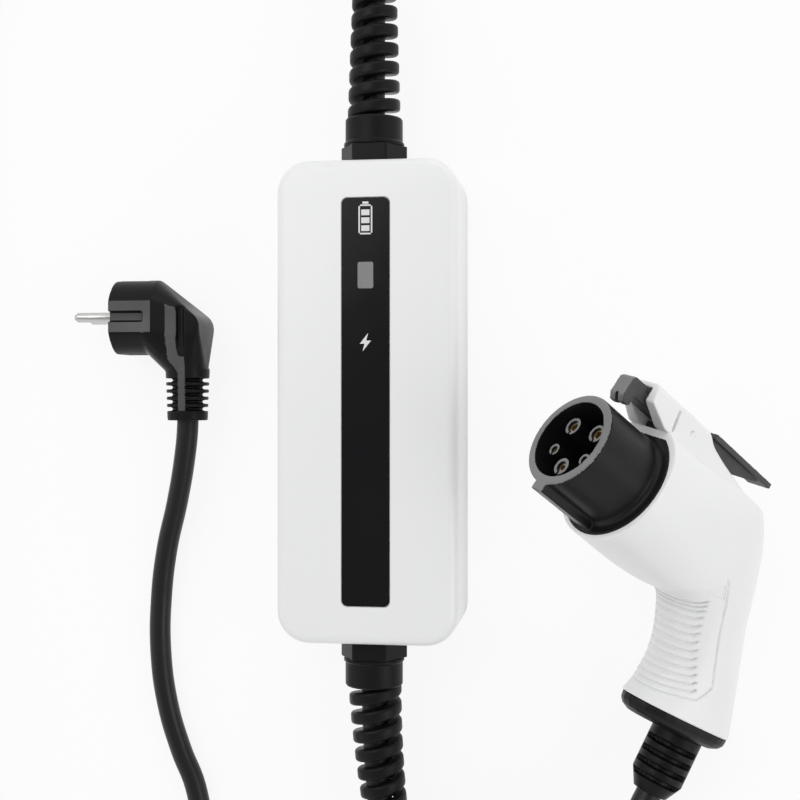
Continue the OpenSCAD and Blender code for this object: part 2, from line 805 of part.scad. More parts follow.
// Shallow grooves round the front of the handle, square to its axis
module grip_grooves() {
    groove_d = 0.9;
    groove_w = 1.2;
    pitch = 3.8;
    start = head_l + bend_l - 8;
    back = 8;
    for (k = [0:grip_count - 1]) {
        c = gun_spine(start + pitch * k);
        translate([c[0], 0, c[1]]) rotate([0, 90 - c[2], 0]) translate([0, 0, -groove_w / 2])
            linear_extrude(groove_w) difference() {
                translate([back, -30]) square([60, 60]);
                polygon(gun_section(start + pitch * k, groove_d, 32));
            }
    }
}

module gun_top_cover() {
    roof_t = 2.6;
    front = [[0.4, deck_z - 1], [visor_l + 1, deck_z + 6.4], [visor_l + 1, deck_z - 1]];
    function cover_ring(s) =
        let (top = smooth(cover_form, s, 1), slope = 3 * (top - deck_z) / (cover_top - deck_z), r = min(4, (top - deck_z) / 2))
            concat(
                [[-s, -cover_half_w, deck_z]],
                [for (i = [0:5]) let (a = 90 - 90 * i / 5)
                    [-s, -cover_half_w + slope + r * (1 - sin(a)), top - r * (1 - cos(a))]],
                [for (i = [0:5]) let (a = 90 * i / 5)
                    [-s, cover_half_w - slope - r * (1 - sin(a)), top - r * (1 - cos(a))]],
                [[-s, cover_half_w, deck_z]]
            );
    color(WHITE) in_gun() difference() {
        loft([for (s = cover_places) cover_ring(s)]);
        translate([0, 30, 0]) rotate([90, 0, 0]) linear_extrude(60) polygon(front);
        translate([-30, -lever_slot / 2, deck_z - 1]) cube([60, lever_slot, cover_top - roof_t - deck_z + 1]);
        translate([cover_back - 1, -lever_slot / 2, deck_z - 1]) cube([-cover_back - 24 + 1, lever_slot, 40]);
        translate([-pivot_back, 20, pivot_z]) rotate([90, 0, 0]) cylinder(d = pivot_d + fit / 2, h = 40);
        for (y = [-1, 1]) translate([-3, y * 11 - 3, deck_z + 1.5]) cube([1.4, 6, 11]);
    }
}

module gun_nose() {
    fillet = 3;
    rim = 0.8;
    spigot_d = nose_bore_d + 4;
    color(BLACK) in_gun() difference() {
        union() {
            along_x() cylinder(d = nose_d, h = nose_l - rim);
            translate([nose_l - rim, 0, 0]) along_x() cylinder(d1 = nose_d, d2 = nose_d - 2 * rim, h = rim);
            translate([-flange_t, 0, 0]) flange_outline(flange_r, flange_flat, flange_t + 0.4);
            along_x() rotate_extrude() difference() {
                translate([nose_d / 2 - 1, 0]) square([fillet * 0.7 + 1, fillet]);
                translate([nose_d / 2 + fillet, fillet]) circle(fillet);
            }
            translate([carrier_back, 0, 0]) along_x() cylinder(d = spigot_d, h = -carrier_back);
            translate([0, -key_w / 2, -nose_d / 2 - key_h]) cube([nose_l, key_w, key_h + 1.6]);
        }
        translate([carrier_back - 1, 0, 0]) along_x() cylinder(d = nose_bore_d, h = nose_l - carrier_back + 2);
    }
}

module contact_carrier() {
    color(BLACK) in_gun() difference() {
        translate([carrier_back, 0, 0]) along_x() cylinder(d = nose_bore_d - fit, h = contact_floor - carrier_back);
        for (k = contact_kinds) translate([carrier_back - 1, k[0], k[1]])
            along_x() cylinder(d = k[3] + fit, h = contact_floor - carrier_back + 2);
    }
}

// Five sleeves that stand on the carrier's face, each slit underneath at its mouth
module contact_sleeves() {
    slit_w = 1;
    slit_l = 5;
    color(BLACK) in_gun() for (k = contact_kinds) translate([contact_floor, k[0], k[1]]) difference() {
        along_x() cylinder(d = k[2], h = sleeve_front - contact_floor);
        translate([-1, 0, 0]) along_x() cylinder(d = k[3] + fit, h = sleeve_front);
        translate([sleeve_front - contact_floor - slit_l, -slit_w / 2, -k[2]]) cube([2 * slit_l, slit_w, k[2]]);
    }
}

// A turned socket, closed at the back
module socket_contact(k) {
    translate([carrier_back - 4, k[0], k[1]]) along_x() difference() {
        cylinder(d = k[3], h = sleeve_front - carrier_back + 2.6);
        translate([0, 0, 14]) cylinder(d = k[4], h = 60);
    }
}

module power_contacts() {
    color(BRASS) in_gun() for (i = [0:2]) socket_contact(contact_kinds[i]);
}

module signal_contacts() {
    color(BRASS) in_gun() for (i = [3:4]) socket_contact(contact_kinds[i]);
}

// One rocker: hook over the nose in front, pivot in the cover, thumb button behind
module latch_lever() {
    hook_front = nose_l - 8;
    hook_top = 38.4;
    arm_z = 31;
    arm_t = 3.6;
    button_front = -29;
    button_back = -72;
    button_z = 40.8;
    button_t = 2.6;
    notch_w = 1.6;
    hook = [
        [hook_front - 9, arm_z], [hook_front - 6, arm_z], [hook_front - 6, 27], [hook_front - 4.6, 26],
        [hook_front - 2, 26], [hook_front, 28.6], [hook_front, hook_top - 1.4], [hook_front - 1.5, hook_top],
        [hook_front - 9, hook_top], [hook_front - 11, arm_z + arm_t], [hook_front - 11, arm_z]
    ];
    arm = [
        [hook_front - 10, arm_z], [hook_front - 10, arm_z + arm_t],
        [-pivot_back + 2, pivot_z + 3.4], [-pivot_back - 10, pivot_z + 4],
        [button_front, button_z + 1], [button_back + 4, button_z + 1],
        [button_back + 8, button_z - 1.4], [-48, 34], [-30, arm_z], [-pivot_back + 2, arm_z]
    ];
    color(DARK) in_gun() difference() {
        union() {
            translate([0, lever_w / 2, 0]) rotate([90, 0, 0]) linear_extrude(lever_w) {
                polygon(hook);
                polygon(arm);
            }
            translate([button_back, -button_w / 2, button_z])
                cube([button_front - button_back, button_w, button_t]);
        }
        translate([-pivot_back, 20, pivot_z]) rotate([90, 0, 0]) cylinder(d = pivot_d + fit, h = 40);
        translate([hook_front - 8, -notch_w / 2, 24]) cube([10, notch_w, 5.4]);
    }
}

module latch_pin() {
    color(METAL) in_gun() translate([-pivot_back, 10.5, pivot_z]) rotate([90, 0, 0]) cylinder(d = pivot_d, h = 21);
}

module latch_spring() {
    wire = 0.7;
    coils = 3;
    coil_d = 4.6;
    height = 3.3;
    n = 14;
    color(METAL) in_gun() translate([-26, 0, deck_z + wire / 2 + 0.05])
        loft([for (i = [0:coils * n])
            let (a = 360 * i / n, z = (height - wire) * i / (coils * n))
                cord_ring([coil_d / 2 * cos(a), coil_d / 2 * sin(a), z], unit([-sin(a), cos(a), 0.08]), wire, 6)]);
}

module latch_switch() {
    color("dimgray") in_gun() translate([-3, 0, deck_z]) {
        translate([-3, -3, 0]) cube([6, 6, 2.8]);
        translate([0, 0, 2.7]) cylinder(d = 3, h = 1);
    }
}

module gun_end_cap() {
    steps = [[0, 0.5], [0.45, 0.8], [0.75, 2.4], [1, 6]];
    color(BLACK) in_gun() difference() {
        loft([for (s = steps) gun_ring(gun_l, s[1], 32, s[0] * end_cap_l)]);
        boot_axis() translate([0, 0, -2 * end_cap_l]) cylinder(d = vehicle_d + 2 * cord_room, h = 3 * end_cap_l);
    }
}

// Children drawn along +Z point out of the handle's end, from the end cap's outer face
module boot_axis() {
    c = gun_spine(gun_l);
    translate([c[0] - end_cap_l * cos(c[2]), 0, c[1] - end_cap_l * sin(c[2])])
        rotate([0, -90 - c[2], 0]) children();
}

module cord_boot() {
    d1 = 24;
    d2 = 15.6;
    tip_l = 8;
    slot_w = 2.6;
    slot_turn = 48;
    spine_w = 6;
    tube_d = vehicle_d + 2 * cord_room + 2;
    color(BLACK) in_gun() boot_axis() difference() {
        union() {
            cylinder(d = d1, h = boot_l - tip_l);
            translate([0, 0, boot_l - tip_l]) cylinder(d1 = d1, d2 = d2, h = tip_l);
        }
        translate([0, 0, -1]) cylinder(d = vehicle_d + 2 * cord_room, h = boot_l + 2);
        rotate([0, 0, slot_turn]) for (k = [0:3])
            translate([0, 0, 6.3 + 5.6 * k]) difference() {
                cube([2 * d1, 2 * d1, slot_w], center = true);
                cube([2 * d1, spine_w, 2 * slot_w], center = true);
                cylinder(d = tube_d, h = 2 * slot_w, center = true);
            }
    }
}

box_front_cover();
box_rear_cover();
box_gasket();
box_screws();
label_panel();
indicator_lens();
circuit_board();
board_screws();
power_relays();
leakage_sensor();
power_module();
filter_capacitors();
mains_terminals();
vehicle_terminals();
indicator_led();
mains_gland_body();
mains_gland_locknut();
mains_gland_seal();
mains_gland_nut();
vehicle_gland_body();
vehicle_gland_locknut();
vehicle_gland_seal();
vehicle_gland_nut();
plug_body();
plug_pins();
plug_earth_contacts();
mains_cord();
vehicle_cord_feed();
vehicle_coil();
coil_tie();
vehicle_cord_lead();
gun_housing();
gun_top_cover();
gun_nose();
contact_carrier();
contact_sleeves();
power_contacts();
signal_contacts();
latch_lever();
latch_pin();
latch_spring();
latch_switch();
gun_end_cap();
cord_boot();
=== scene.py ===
"""Looks of a portable car charger: a control box, a mains lead and a vehicle lead.

Sizes are in millimetres in the box's own frame, as the part's source has them, and become
metres where a mesh or a curve is made.
"""

from __future__ import annotations

import logging
import math
from dataclasses import dataclass, field
from enum import Enum
from typing import Sequence

import bmesh
import bpy
from mathutils import Matrix, Vector

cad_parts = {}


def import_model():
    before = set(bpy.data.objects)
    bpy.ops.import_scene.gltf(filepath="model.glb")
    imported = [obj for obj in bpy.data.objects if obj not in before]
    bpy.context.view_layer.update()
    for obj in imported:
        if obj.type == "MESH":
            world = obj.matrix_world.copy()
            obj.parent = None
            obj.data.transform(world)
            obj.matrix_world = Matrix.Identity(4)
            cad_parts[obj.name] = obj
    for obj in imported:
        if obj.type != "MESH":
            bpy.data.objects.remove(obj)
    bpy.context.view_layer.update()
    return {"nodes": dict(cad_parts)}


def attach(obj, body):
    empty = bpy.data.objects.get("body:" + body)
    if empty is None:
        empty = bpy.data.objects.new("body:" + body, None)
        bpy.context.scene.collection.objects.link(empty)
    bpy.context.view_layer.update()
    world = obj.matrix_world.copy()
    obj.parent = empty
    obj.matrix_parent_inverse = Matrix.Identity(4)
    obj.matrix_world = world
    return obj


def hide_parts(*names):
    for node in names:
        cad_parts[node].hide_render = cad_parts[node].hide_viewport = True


LOG = logging.getLogger("charger")
MM = 0.001
BODY = "charger"
LATCH = "latch"
WHITE = (1.0, 1.0, 1.0, 1.0)
JOIN_DISTANCE = 1e-6
SQUARE = ((1, 1), (-1, 1), (-1, -1), (1, -1))

Node = bpy.types.Node
Tree = bpy.types.NodeTree
Piece = bpy.types.Object
Pair = tuple[float, float]
Point = tuple[float, float, float]
Ring = list[Point]
Row = tuple[float, ...]


class Grain(Enum):
    """How a surface was finished in its mould or on its machine."""

    POLISHED = "polished"
    SPARKED = "sparked"
    DRAWN = "drawn"
    WOVEN = "woven"


@dataclass(frozen=True)
class Finish:
    """One finish: its colour, gloss and grain.

    Roughness changes by the spread to both sides. Sizes of the grain are in millimetres. Tone is how
    much darker the darkest patches are, dust how much pale dust lies in the grain, coat the weight of
    a clear coat and shine the level of the surface's own reflection.
    """

    name: str
    colour: Point
    roughness: float
    spread: float = 0.05
    grain_size: float = 0.5
    grain_depth: float = 0.02
    tone: float = 0.08
    grain: Grain = Grain.SPARKED
    metallic: float = 0.0
    coat: float = 0.0
    dust: float = 0.0
    shine: float = 0.5


SHELL = Finish(
    "shell_white", (0.87, 0.873, 0.876), 0.34, 0.012, 6.0, 0.001, 0.006, Grain.POLISHED, coat=0.1,
)
HANDLE = Finish("handle_white", (0.86, 0.862, 0.865), 0.36, 0.04, 0.6, 0.006, 0.02)
PANEL = Finish("panel_black", (0.004, 0.004, 0.005), 0.2, 0.04, 4.0, 0.002, 0.1, Grain.POLISHED, shine=0.22)
WINDOW = Finish("window_grey", (0.26, 0.262, 0.265), 0.2, 0.05, 1.5, 0.004, 0.15, Grain.POLISHED, shine=0.3)
PRINT = Finish("print_white", (0.75, 0.76, 0.77), 0.45, 0.05, 0.3, 0.004, 0.05)
GLAND = Finish("gland_nylon", (0.008, 0.008, 0.009), 0.38, 0.07, 0.7, 0.02, 0.25, dust=0.01, shine=0.15)
MOULDED = Finish("plug_moulding", (0.007, 0.007, 0.008), 0.34, 0.08, 0.5, 0.02, 0.25, dust=0.02, shine=0.15)
# Paler colour painted on the plug's up-facing flats as painted sheen; its higher roughness is the flats'
# own grain.
PLUG_PAINTED_SHEEN = Finish("plug_painted_sheen", (0.092, 0.092, 0.094), 0.5, 0.08, 0.5, 0.04, 0.3, dust=0.05, shine=0.4)
SHEATH = Finish("cord_sheath", (0.009, 0.009, 0.01), 0.38, 0.07, 1.1, 0.02, 0.3, dust=0.02, shine=0.33)
BARREL = Finish("nose_black", (0.01, 0.01, 0.011), 0.36, 0.06, 0.5, 0.02, 0.2, dust=0.02, shine=0.18)
# Paler grey painted on the forward-facing faces of the nose, sleeves and latch as a painted highlight.
FRONT_PAINTED_HIGHLIGHT = Finish("front_painted_highlight", (0.21, 0.21, 0.213), 0.5, 0.06, 0.4, 0.03, 0.2, shine=0.4)
CARRIER = Finish("carrier_black", (0.006, 0.006, 0.007), 0.55, 0.06, 0.5, 0.02, 0.2, shine=0.12)
SLEEVE = Finish("sleeve_black", (0.008, 0.008, 0.009), 0.5, 0.06, 0.4, 0.02, 0.2, shine=0.12)
ROCKER = Finish("rocker_grey", (0.055, 0.055, 0.057), 0.5, 0.06, 0.6, 0.05, 0.25, dust=0.06, shine=0.4)
STEEL = Finish("pin_steel", (0.62, 0.62, 0.61), 0.27, 0.08, 0.4, 0.006, 0.12, Grain.DRAWN, metallic=1.0)
BRASS = Finish("contact_brass", (0.85, 0.68, 0.42), 0.4, 0.08, 0.4, 0.006, 0.2, Grain.DRAWN, metallic=1.0)
SEAL = Finish("seal_rubber", (0.03, 0.03, 0.032), 0.6, 0.06, 0.5, 0.03, 0.2)
TAPE = Finish("tie_tape", (0.03, 0.03, 0.032), 0.75, 0.08, 0.9, 0.12, 0.35, Grain.WOVEN)
BOARD = Finish("board_lacquer", (0.02, 0.16, 0.06), 0.35, 0.06, 0.8, 0.02, 0.25)
BLUE_CASE = Finish("relay_blue", (0.02, 0.05, 0.24), 0.4, 0.06, 0.6, 0.02, 0.15)
ORANGE_CASE = Finish("sensor_orange", (0.55, 0.2, 0.03), 0.45, 0.06, 0.6, 0.02, 0.15)
LAMP = Finish("lamp_clear", (0.45, 0.7, 0.45), 0.15, 0.04, 1.0, 0.004, 0.1, Grain.POLISHED, coat=0.3)


def set_inputs(node: Node, values: dict) -> None:
    """Sets values of a node's inputs, which are given by name or by number."""
    for key, value in values.items():
        node.inputs[key].default_value = value


def add_node(tree: Tree, kind: str, values: dict | None = None, **settings: object) -> Node:
    """Adds a shader node.

    Args:
        tree: Tree that takes it.
        kind: Its type, without the ShaderNode in front.
        values: Values of its inputs, by name or by number.
        settings: Its other settings, which are made first.

    Returns:
        The node.
    """
    node = tree.nodes.new(f"ShaderNode{kind}")
    for label, value in settings.items():
        setattr(node, label, value)
    set_inputs(node, values or {})
    return node


def wire(source: Node, output: str, target: Node, entry: str | int) -> None:
    """Links an output of a node to an input of another node in the same tree."""
    source.id_data.links.new(source.outputs[output], target.inputs[entry])


class SurfaceKit:
    """Node groups that the finishes share, and the materials made from them."""

    COAT_ROUGHNESS = 0.08
    DUST = (0.3, 0.3, 0.29, 1.0)
    PATCHES_PER_METRE = 28.0
    PATCH_DETAIL = 4.0
    PATCH_RANGES = (("Patch", 1.0, 0.35, 0.7), ("Speck", 24.0, 0.62, 0.72))

    def __init__(self) -> None:
        """Builds the shared groups once."""
        self._made: dict[str, bpy.types.Material] = {}
        self._grains: dict[Grain, Tree] = {
            Grain.POLISHED: self._noise_group("polished_grain", 2.0),
            Grain.SPARKED: self._noise_group("sparked_grain", 6.0),
            Grain.DRAWN: self._noise_group("drawn_grain", 3.0, (0.08, 1.0, 1.0)),
            Grain.WOVEN: self._woven_group(),
        }
        self._patches = self._patch_group()

    @staticmethod
    def _group(name: str, *outputs: str) -> tuple[Tree, Node, Node, Node]:
        """Makes a shader group with a Scale input and the piece's own coordinates.

        Args:
            name: Name of the group.
            outputs: Names of its value outputs.

        Returns:
            The tree, its input node, its output node and its coordinates.
        """
        tree = bpy.data.node_groups.new(name, "ShaderNodeTree")
        tree.interface.new_socket("Scale", in_out="INPUT", socket_type="NodeSocketFloat")
        for label in outputs:
            tree.interface.new_socket(label, in_out="OUTPUT", socket_type="NodeSocketFloat")
        start, end = tree.nodes.new("NodeGroupInput"), tree.nodes.new("NodeGroupOutput")
        return tree, start, end, add_node(tree, "TexCoord")

    def _noise_group(self, name: str, detail: float, stretch: Point = (1.0, 1.0, 1.0)) -> Tree:
        """A grain from noise.

        Args:
            name: Name of the group.
            detail: Octaves of the noise.
            stretch: Scale of the noise along each axis.

        Returns:
            The group, with input Scale and output Height.
        """
        tree, start, end, where = self._group(name, "Height")
        shape = add_node(tree, "Mapping", {"Scale": stretch})
        noise = add_node(tree, "TexNoise", {"Detail": detail})
        wire(where, "Object", shape, "Vector")
        wire(shape, "Vector", noise, "Vector")
        wire(start, "Scale", noise, "Scale")
        wire(noise, "Fac", end, "Height")
        return tree

    def _woven_group(self) -> Tree:
        """Two crossed waves, the over and under of a woven tape.

        Returns:
            The group, with input Scale and output Height.
        """
        tree, start, end, where = self._group("woven_grain", "Height")
        product = add_node(tree, "Math", operation="MULTIPLY")
        for index, direction in enumerate(("X", "Z")):
            wave = add_node(tree, "TexWave", bands_direction=direction)
            wire(where, "Object", wave, "Vector")
            wire(start, "Scale", wave, "Scale")
            wire(wave, "Fac", product, index)
        wire(product, "Value", end, "Height")
        return tree

    def _patch_group(self) -> Tree:
        """Broad soft patches where a surface was handled, and fine specks of dust.

        Returns:
            The group, with input Scale and outputs Patch and Speck.
        """
        tree, start, end, where = self._group("handling_patches", "Patch", "Speck")
        for output, factor, low, high in self.PATCH_RANGES:
            size = add_node(tree, "Math", {1: factor}, operation="MULTIPLY")
            noise = add_node(tree, "TexNoise", {"Detail": self.PATCH_DETAIL})
            reach = add_node(
                tree, "MapRange", {"From Min": low, "From Max": high}, interpolation_type="SMOOTHSTEP",
            )
            wire(start, "Scale", size, 0)
            wire(size, "Value", noise, "Scale")
            wire(where, "Object", noise, "Vector")
            wire(noise, "Fac", reach, "Value")
            wire(reach, "Result", end, output)
        return tree

    def material(self, finish: Finish) -> bpy.types.Material:
        """The material of a finish, made the first time it is asked for.

        Args:
            finish: The finish.

        Returns:
            Its material.
        """
        if finish.name in self._made:
            return self._made[finish.name]
        material = bpy.data.materials.new(finish.name)
        material.use_nodes = True
        tree = material.node_tree
        shader = tree.nodes["Principled BSDF"]
        set_inputs(shader, {
            "Metallic": finish.metallic, "Specular IOR Level": finish.shine,
            "Coat Weight": finish.coat, "Coat Roughness": self.COAT_ROUGHNESS,
        })
        scale = 1.0 / (finish.grain_size * MM)
        grain = add_node(tree, "Group", {"Scale": scale}, node_tree=self._grains[finish.grain])
        patches = add_node(tree, "Group", {"Scale": self.PATCHES_PER_METRE}, node_tree=self._patches)

        bump = add_node(tree, "Bump", {"Distance": finish.grain_depth * MM})
        wire(grain, "Height", bump, "Height")
        wire(bump, "Normal", shader, "Normal")

        darker = (c * (1.0 - finish.tone) for c in finish.colour)
        colour = add_node(tree, "Mix", {"A": (*finish.colour, 1.0), "B": (*darker, 1.0)}, data_type="RGBA")
        wire(patches, "Patch", colour, "Factor")
        if finish.dust > 0.0:
            amount = add_node(tree, "Math", {1: finish.dust}, operation="MULTIPLY")
            dusty = add_node(tree, "Mix", {"B": self.DUST}, data_type="RGBA")
            wire(patches, "Speck", amount, 0)
            wire(amount, "Value", dusty, "Factor")
            wire(colour, "Result", dusty, "A")
            colour = dusty
        wire(colour, "Result", shader, "Base Color")

        low, high = finish.roughness - finish.spread, finish.roughness + finish.spread
        gloss = add_node(tree, "MapRange", {"To Min": low, "To Max": high})
        wire(patches, "Patch", gloss, "Value")
        wire(gloss, "Result", shader, "Roughness")
        self._made[finish.name] = material
        return material

    def dress(self, piece: Piece, finish: Finish) -> None:
        """Gives a piece its finish in place of any that it has."""
        piece.data.materials.clear()
        piece.data.materials.append(self.material(finish))


def ramp(run: Pair, value: float, base: float = 0.0) -> float:
    """Zero before a run, one after it, and smooth in between. The run is measured from its base."""
    low, high = base + run[0], base + run[1]
    share = min(1.0, max(0.0, (value - low) / (high - low)))
    return share * share * (3.0 - 2.0 * share)


def bell(offset: float, width: float, power: int = 2) -> float:
    """One at no offset, and close to zero beyond the width."""
    return math.exp(-((offset / width) ** power))


def table_value(table: Sequence[Row], place: float, column: int) -> float:
    """A smooth value from a table whose first column is the place.

    Args:
        table: Rows in order of place.
        place: Where to read.
        column: Which column to read.

    Returns:
        The value on a curve through the rows.
    """
    i = sum(place > row[0] for row in table[1:-1])
    a, b, d, e = table[max(i - 1, 0)], table[i], table[i + 1], table[min(i + 2, len(table) - 1)]
    h = d[0] - b[0]
    u = (place - b[0]) / h
    m0 = (d[column] - a[column]) / (d[0] - a[0]) * h
    m1 = (e[column] - b[column]) / (e[0] - b[0]) * h
    return (
        (2 * u**3 - 3 * u**2 + 1) * b[column]
        + (u**3 - 2 * u**2 + u) * m0
        + (3 * u**2 - 2 * u**3) * d[column]
        + (u**3 - u**2) * m1
    )


def add_object(name: str, data: bpy.types.ID) -> Piece:
    """Puts the data of a mesh, curve, lamp or camera into the scene as a new object."""
    piece = bpy.data.objects.new(name, data)
    bpy.context.scene.collection.objects.link(piece)
    return piece


def settle(work: bmesh.types.BMesh, name: str) -> Piece:
    """Ends the work on a mesh and puts it into the scene.

    Args:
        work: The mesh, in metres.
        name: Name of the piece.

    Returns:
        The new object.
    """
    mesh = bpy.data.meshes.new(name)
    work.to_mesh(mesh)
    work.free()
    return add_object(name, mesh)


def loft(name: str, rings: Sequence[Ring], angle: float, place: Matrix = Matrix.Identity(4)) -> Piece:
    """A smooth skin through rings of equally many points, closed at both ends.

    Args:
        name: Name of the piece.
        rings: Rings in millimetres, all turning the same way.
        angle: Angle in degrees from which an edge stays sharp.
        place: From the rings' frame to the object's frame, in millimetres.

    Returns:
        The new mesh object, in metres.
    """
    work = bmesh.new()
    rows = [[work.verts.new((place @ Vector(p)) * MM) for p in ring] for ring in rings]
    count = len(rings[0])
    for low, high in zip(rows, rows[1:]):
        for i in range(count):
            j = (i + 1) % count
            work.faces.new((low[i], low[j], high[j], high[i]))
    work.faces.new(reversed(rows[0]))
    work.faces.new(rows[-1])
    bmesh.ops.remove_doubles(work, verts=work.verts, dist=1e-7)
    bmesh.ops.recalc_face_normals(work, faces=work.faces)
    piece = settle(work, name)
    piece.data.shade_smooth()
    piece.data.set_sharp_from_angle(angle=math.radians(angle))
    return piece


def round_rect(width: float, length: float, radius: float, height: float, steps: int = 14) -> Ring:
    """A level rectangle with round corners, anticlockwise from above.

    Args:
        width: Size along X.
        length: Size along Y.
        radius: Radius of the corners.
        height: Its Z.
        steps: Pieces of each corner's arc.

    Returns:
        The ring of points.
    """
    ring: Ring = []
    for quarter, (sx, sy) in enumerate(SQUARE):
        for i in range(steps + 1):
            angle = math.radians(90.0 * quarter + 90.0 * i / steps)
            ring.append((
                sx * (width / 2 - radius) + radius * math.cos(angle),
                sy * (length / 2 - radius) + radius * math.sin(angle),
                height,
            ))
    return ring


def soften(node: Piece, name: str, voxel: float, passes: int) -> Piece:
    """A copy of a solid with its edges rounded as a moulding's are.

    Args:
        node: The solid.
        name: Name of the new piece.
        voxel: Size of the new mesh's cells in millimetres.
        passes: How often the new mesh is relaxed.

    Returns:
        The new piece, at the solid's place.
    """
    work = bmesh.new()
    work.from_mesh(node.data)
    bmesh.ops.remove_doubles(work, verts=work.verts, dist=JOIN_DISTANCE)
    piece = settle(work, name)
    cells = piece.modifiers.new("even_cells", "REMESH")
    cells.mode = "VOXEL"
    cells.voxel_size = voxel * MM
    relax = piece.modifiers.new("round_edges", "SMOOTH")
    relax.factor = 0.5
    relax.iterations = passes
    settled = piece.evaluated_get(bpy.context.evaluated_depsgraph_get())
    rounded = bpy.data.meshes.new_from_object(settled)
    piece.modifiers.clear()
    piece.data = rounded
    rounded.shade_smooth()
    return piece


@dataclass
class Workshop:
    """What every sub-assembly needs: the frame's nodes and the finishes."""

    nodes: dict[str, Piece]
    surfaces: SurfaceKit
    edge_angle: float = 35.0

    def place(self, piece: Piece, finish: Finish, slot: str, *replaced: str, body: str = BODY) -> Piece:
        """Dresses a piece and lets it ride and stand for its solids.

        Args:
            piece: The new piece.
            finish: Its finish.
            slot: A material slot; not used.
            replaced: Nodes that it stands for.
            body: The body that it rides on.

        Returns:
            The piece.
        """
        self.surfaces.dress(piece, finish)
        if replaced:
            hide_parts(*replaced)
        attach(piece, body)
        LOG.info("made %s", piece.name)
        return piece

    def refine(self, finish: Finish, *names: str, edge: float = 0.0) -> None:
        """Dresses solids that stay, with their edges broken.

        Args:
            finish: Their finish.
            names: Names of the nodes.
            edge: Width of the broken edge in millimetres, or 0 for none.
        """
        for name in names:
            node = self.nodes[name]
            self.surfaces.dress(node, finish)
            if edge > 0.0:
                weld = node.modifiers.new("join_faces", "WELD")
                weld.merge_threshold = JOIN_DISTANCE
                bevel = node.modifiers.new("broken_edge", "BEVEL")
                bevel.width = edge * MM
                bevel.segments = 2
                bevel.limit_method = "ANGLE"
                bevel.angle_limit = math.radians(self.edge_angle)
            LOG.info("dressed %s", name)


@dataclass
class Studio:
    """Camera, floor and light."""

    camera_at: Point = (107.2, 0.9, 660.9)
    camera_tilt: float = 8.5
    focal_px: float = 1364.0
    picture_px: float = 800.0
    sensor: float = 36.0
    floor_size: float = 4000.0
    floor_drop: float = 0.2
    floor_colour: Point = (0.93, 0.93, 0.93)
    floor_rough: float = 0.9
    floor_shine: float = 0.1
    floor_white: float = 0.88
    sky_over: float = 0.4
    sky_rim: float = 1.0
    sky_fade: Pair = (0.35, 0.95)
    lamps_aim: Point = (0.05, -0.03, 0.0)
    lamps: tuple[tuple[str, Point, float, float], ...] = (
        ("key_box", (-0.55, 0.55, 1.3), 0.9, 4.8),
        ("fill_box", (1.15, -0.3, 0.8), 0.8, 2.9),
        ("rim_box", (0.2, 1.3, 0.7), 0.6, 1.4),
    )

    def camera(self) -> None:
        """The camera looks down on the object from its right."""
        data = bpy.data.cameras.new("camera")
        data.sensor_width = self.sensor
        data.lens = self.sensor * self.focal_px / self.picture_px
        data.clip_end = 20.0
        camera = add_object("camera", data)
        camera.location = Vector(self.camera_at) * MM
        camera.rotation_euler = (0.0, math.radians(self.camera_tilt), 0.0)
        bpy.context.scene.camera = camera

    def floor(self) -> None:
        """A pale floor that keeps the object's shadow."""
        half = self.floor_size / 2 * MM
        mesh = bpy.data.meshes.new("floor")
        corners = [(half * x, half * y, 0.0) for x, y in SQUARE]
        mesh.from_pydata(corners, [], [(0, 1, 2, 3)])
        floor = add_object("floor", mesh)
        floor.location.z = -self.floor_drop * MM
        material = bpy.data.materials.new("floor_paper")
        material.use_nodes = True
        set_inputs(material.node_tree.nodes["Principled BSDF"], {
            "Base Color": (*self.floor_colour, 1.0), "Roughness": self.floor_rough,
            "Specular IOR Level": self.floor_shine,
        })
        self._whiten(material)
        mesh.materials.append(material)

    def _whiten(self, material: bpy.types.Material) -> None:
        """Lets the camera and mirrors see the floor as white paper that keeps its shadow.

        Args:
            material: The floor's material.
        """
        tree = material.node_tree
        white = add_node(tree, "Emission", {"Color": WHITE})
        path = add_node(tree, "LightPath")
        seen, output = path, "Is Camera Ray"
        for ray in ("Is Glossy Ray", "Is Transmission Ray"):
            either = add_node(tree, "Math", operation="MAXIMUM")
            wire(seen, output, either, 0)
            wire(path, ray, either, 1)
            seen, output = either, "Value"
        share = add_node(tree, "Math", {1: self.floor_white}, operation="MULTIPLY")
        wire(seen, output, share, 0)
        blend = add_node(tree, "MixShader")
        wire(share, "Value", blend, "Fac")
        wire(tree.nodes["Principled BSDF"], "BSDF", blend, 1)
        wire(white, "Emission", blend, 2)
        wire(blend, "Shader", tree.nodes["Material Output"], "Surface")

    def lights(self) -> None:
        """A sky that is dim overhead and bright at its rim, and three soft boxes."""
        scene = bpy.context.scene
        scene.view_settings.view_transform = "Standard"
        world = bpy.data.worlds.new("studio")
        world.use_nodes = True
        tree = world.node_tree
        backdrop = tree.nodes["Background"]
        set_inputs(backdrop, {"Color": WHITE})
        way = add_node(tree, "TexCoord")
        height = add_node(tree, "SeparateXYZ")
        fade = add_node(tree, "MapRange", {
            "From Min": self.sky_fade[0], "From Max": self.sky_fade[1],
            "To Min": self.sky_rim, "To Max": self.sky_over,
        }, interpolation_type="SMOOTHSTEP")
        wire(way, "Generated", height, "Vector")
        wire(height, "Z", fade, "Value")
        wire(fade, "Result", backdrop, "Strength")
        scene.world = world
        for name, at, size, power in self.lamps:
            data = bpy.data.lights.new(name, "AREA")
            data.shape = "SQUARE"
            data.size = size
            data.energy = power
            lamp = add_object(name, data)
            lamp.location = at
            beam = Vector(self.lamps_aim) - Vector(at)
            lamp.rotation_euler = beam.to_track_quat("-Z", "Y").to_euler()


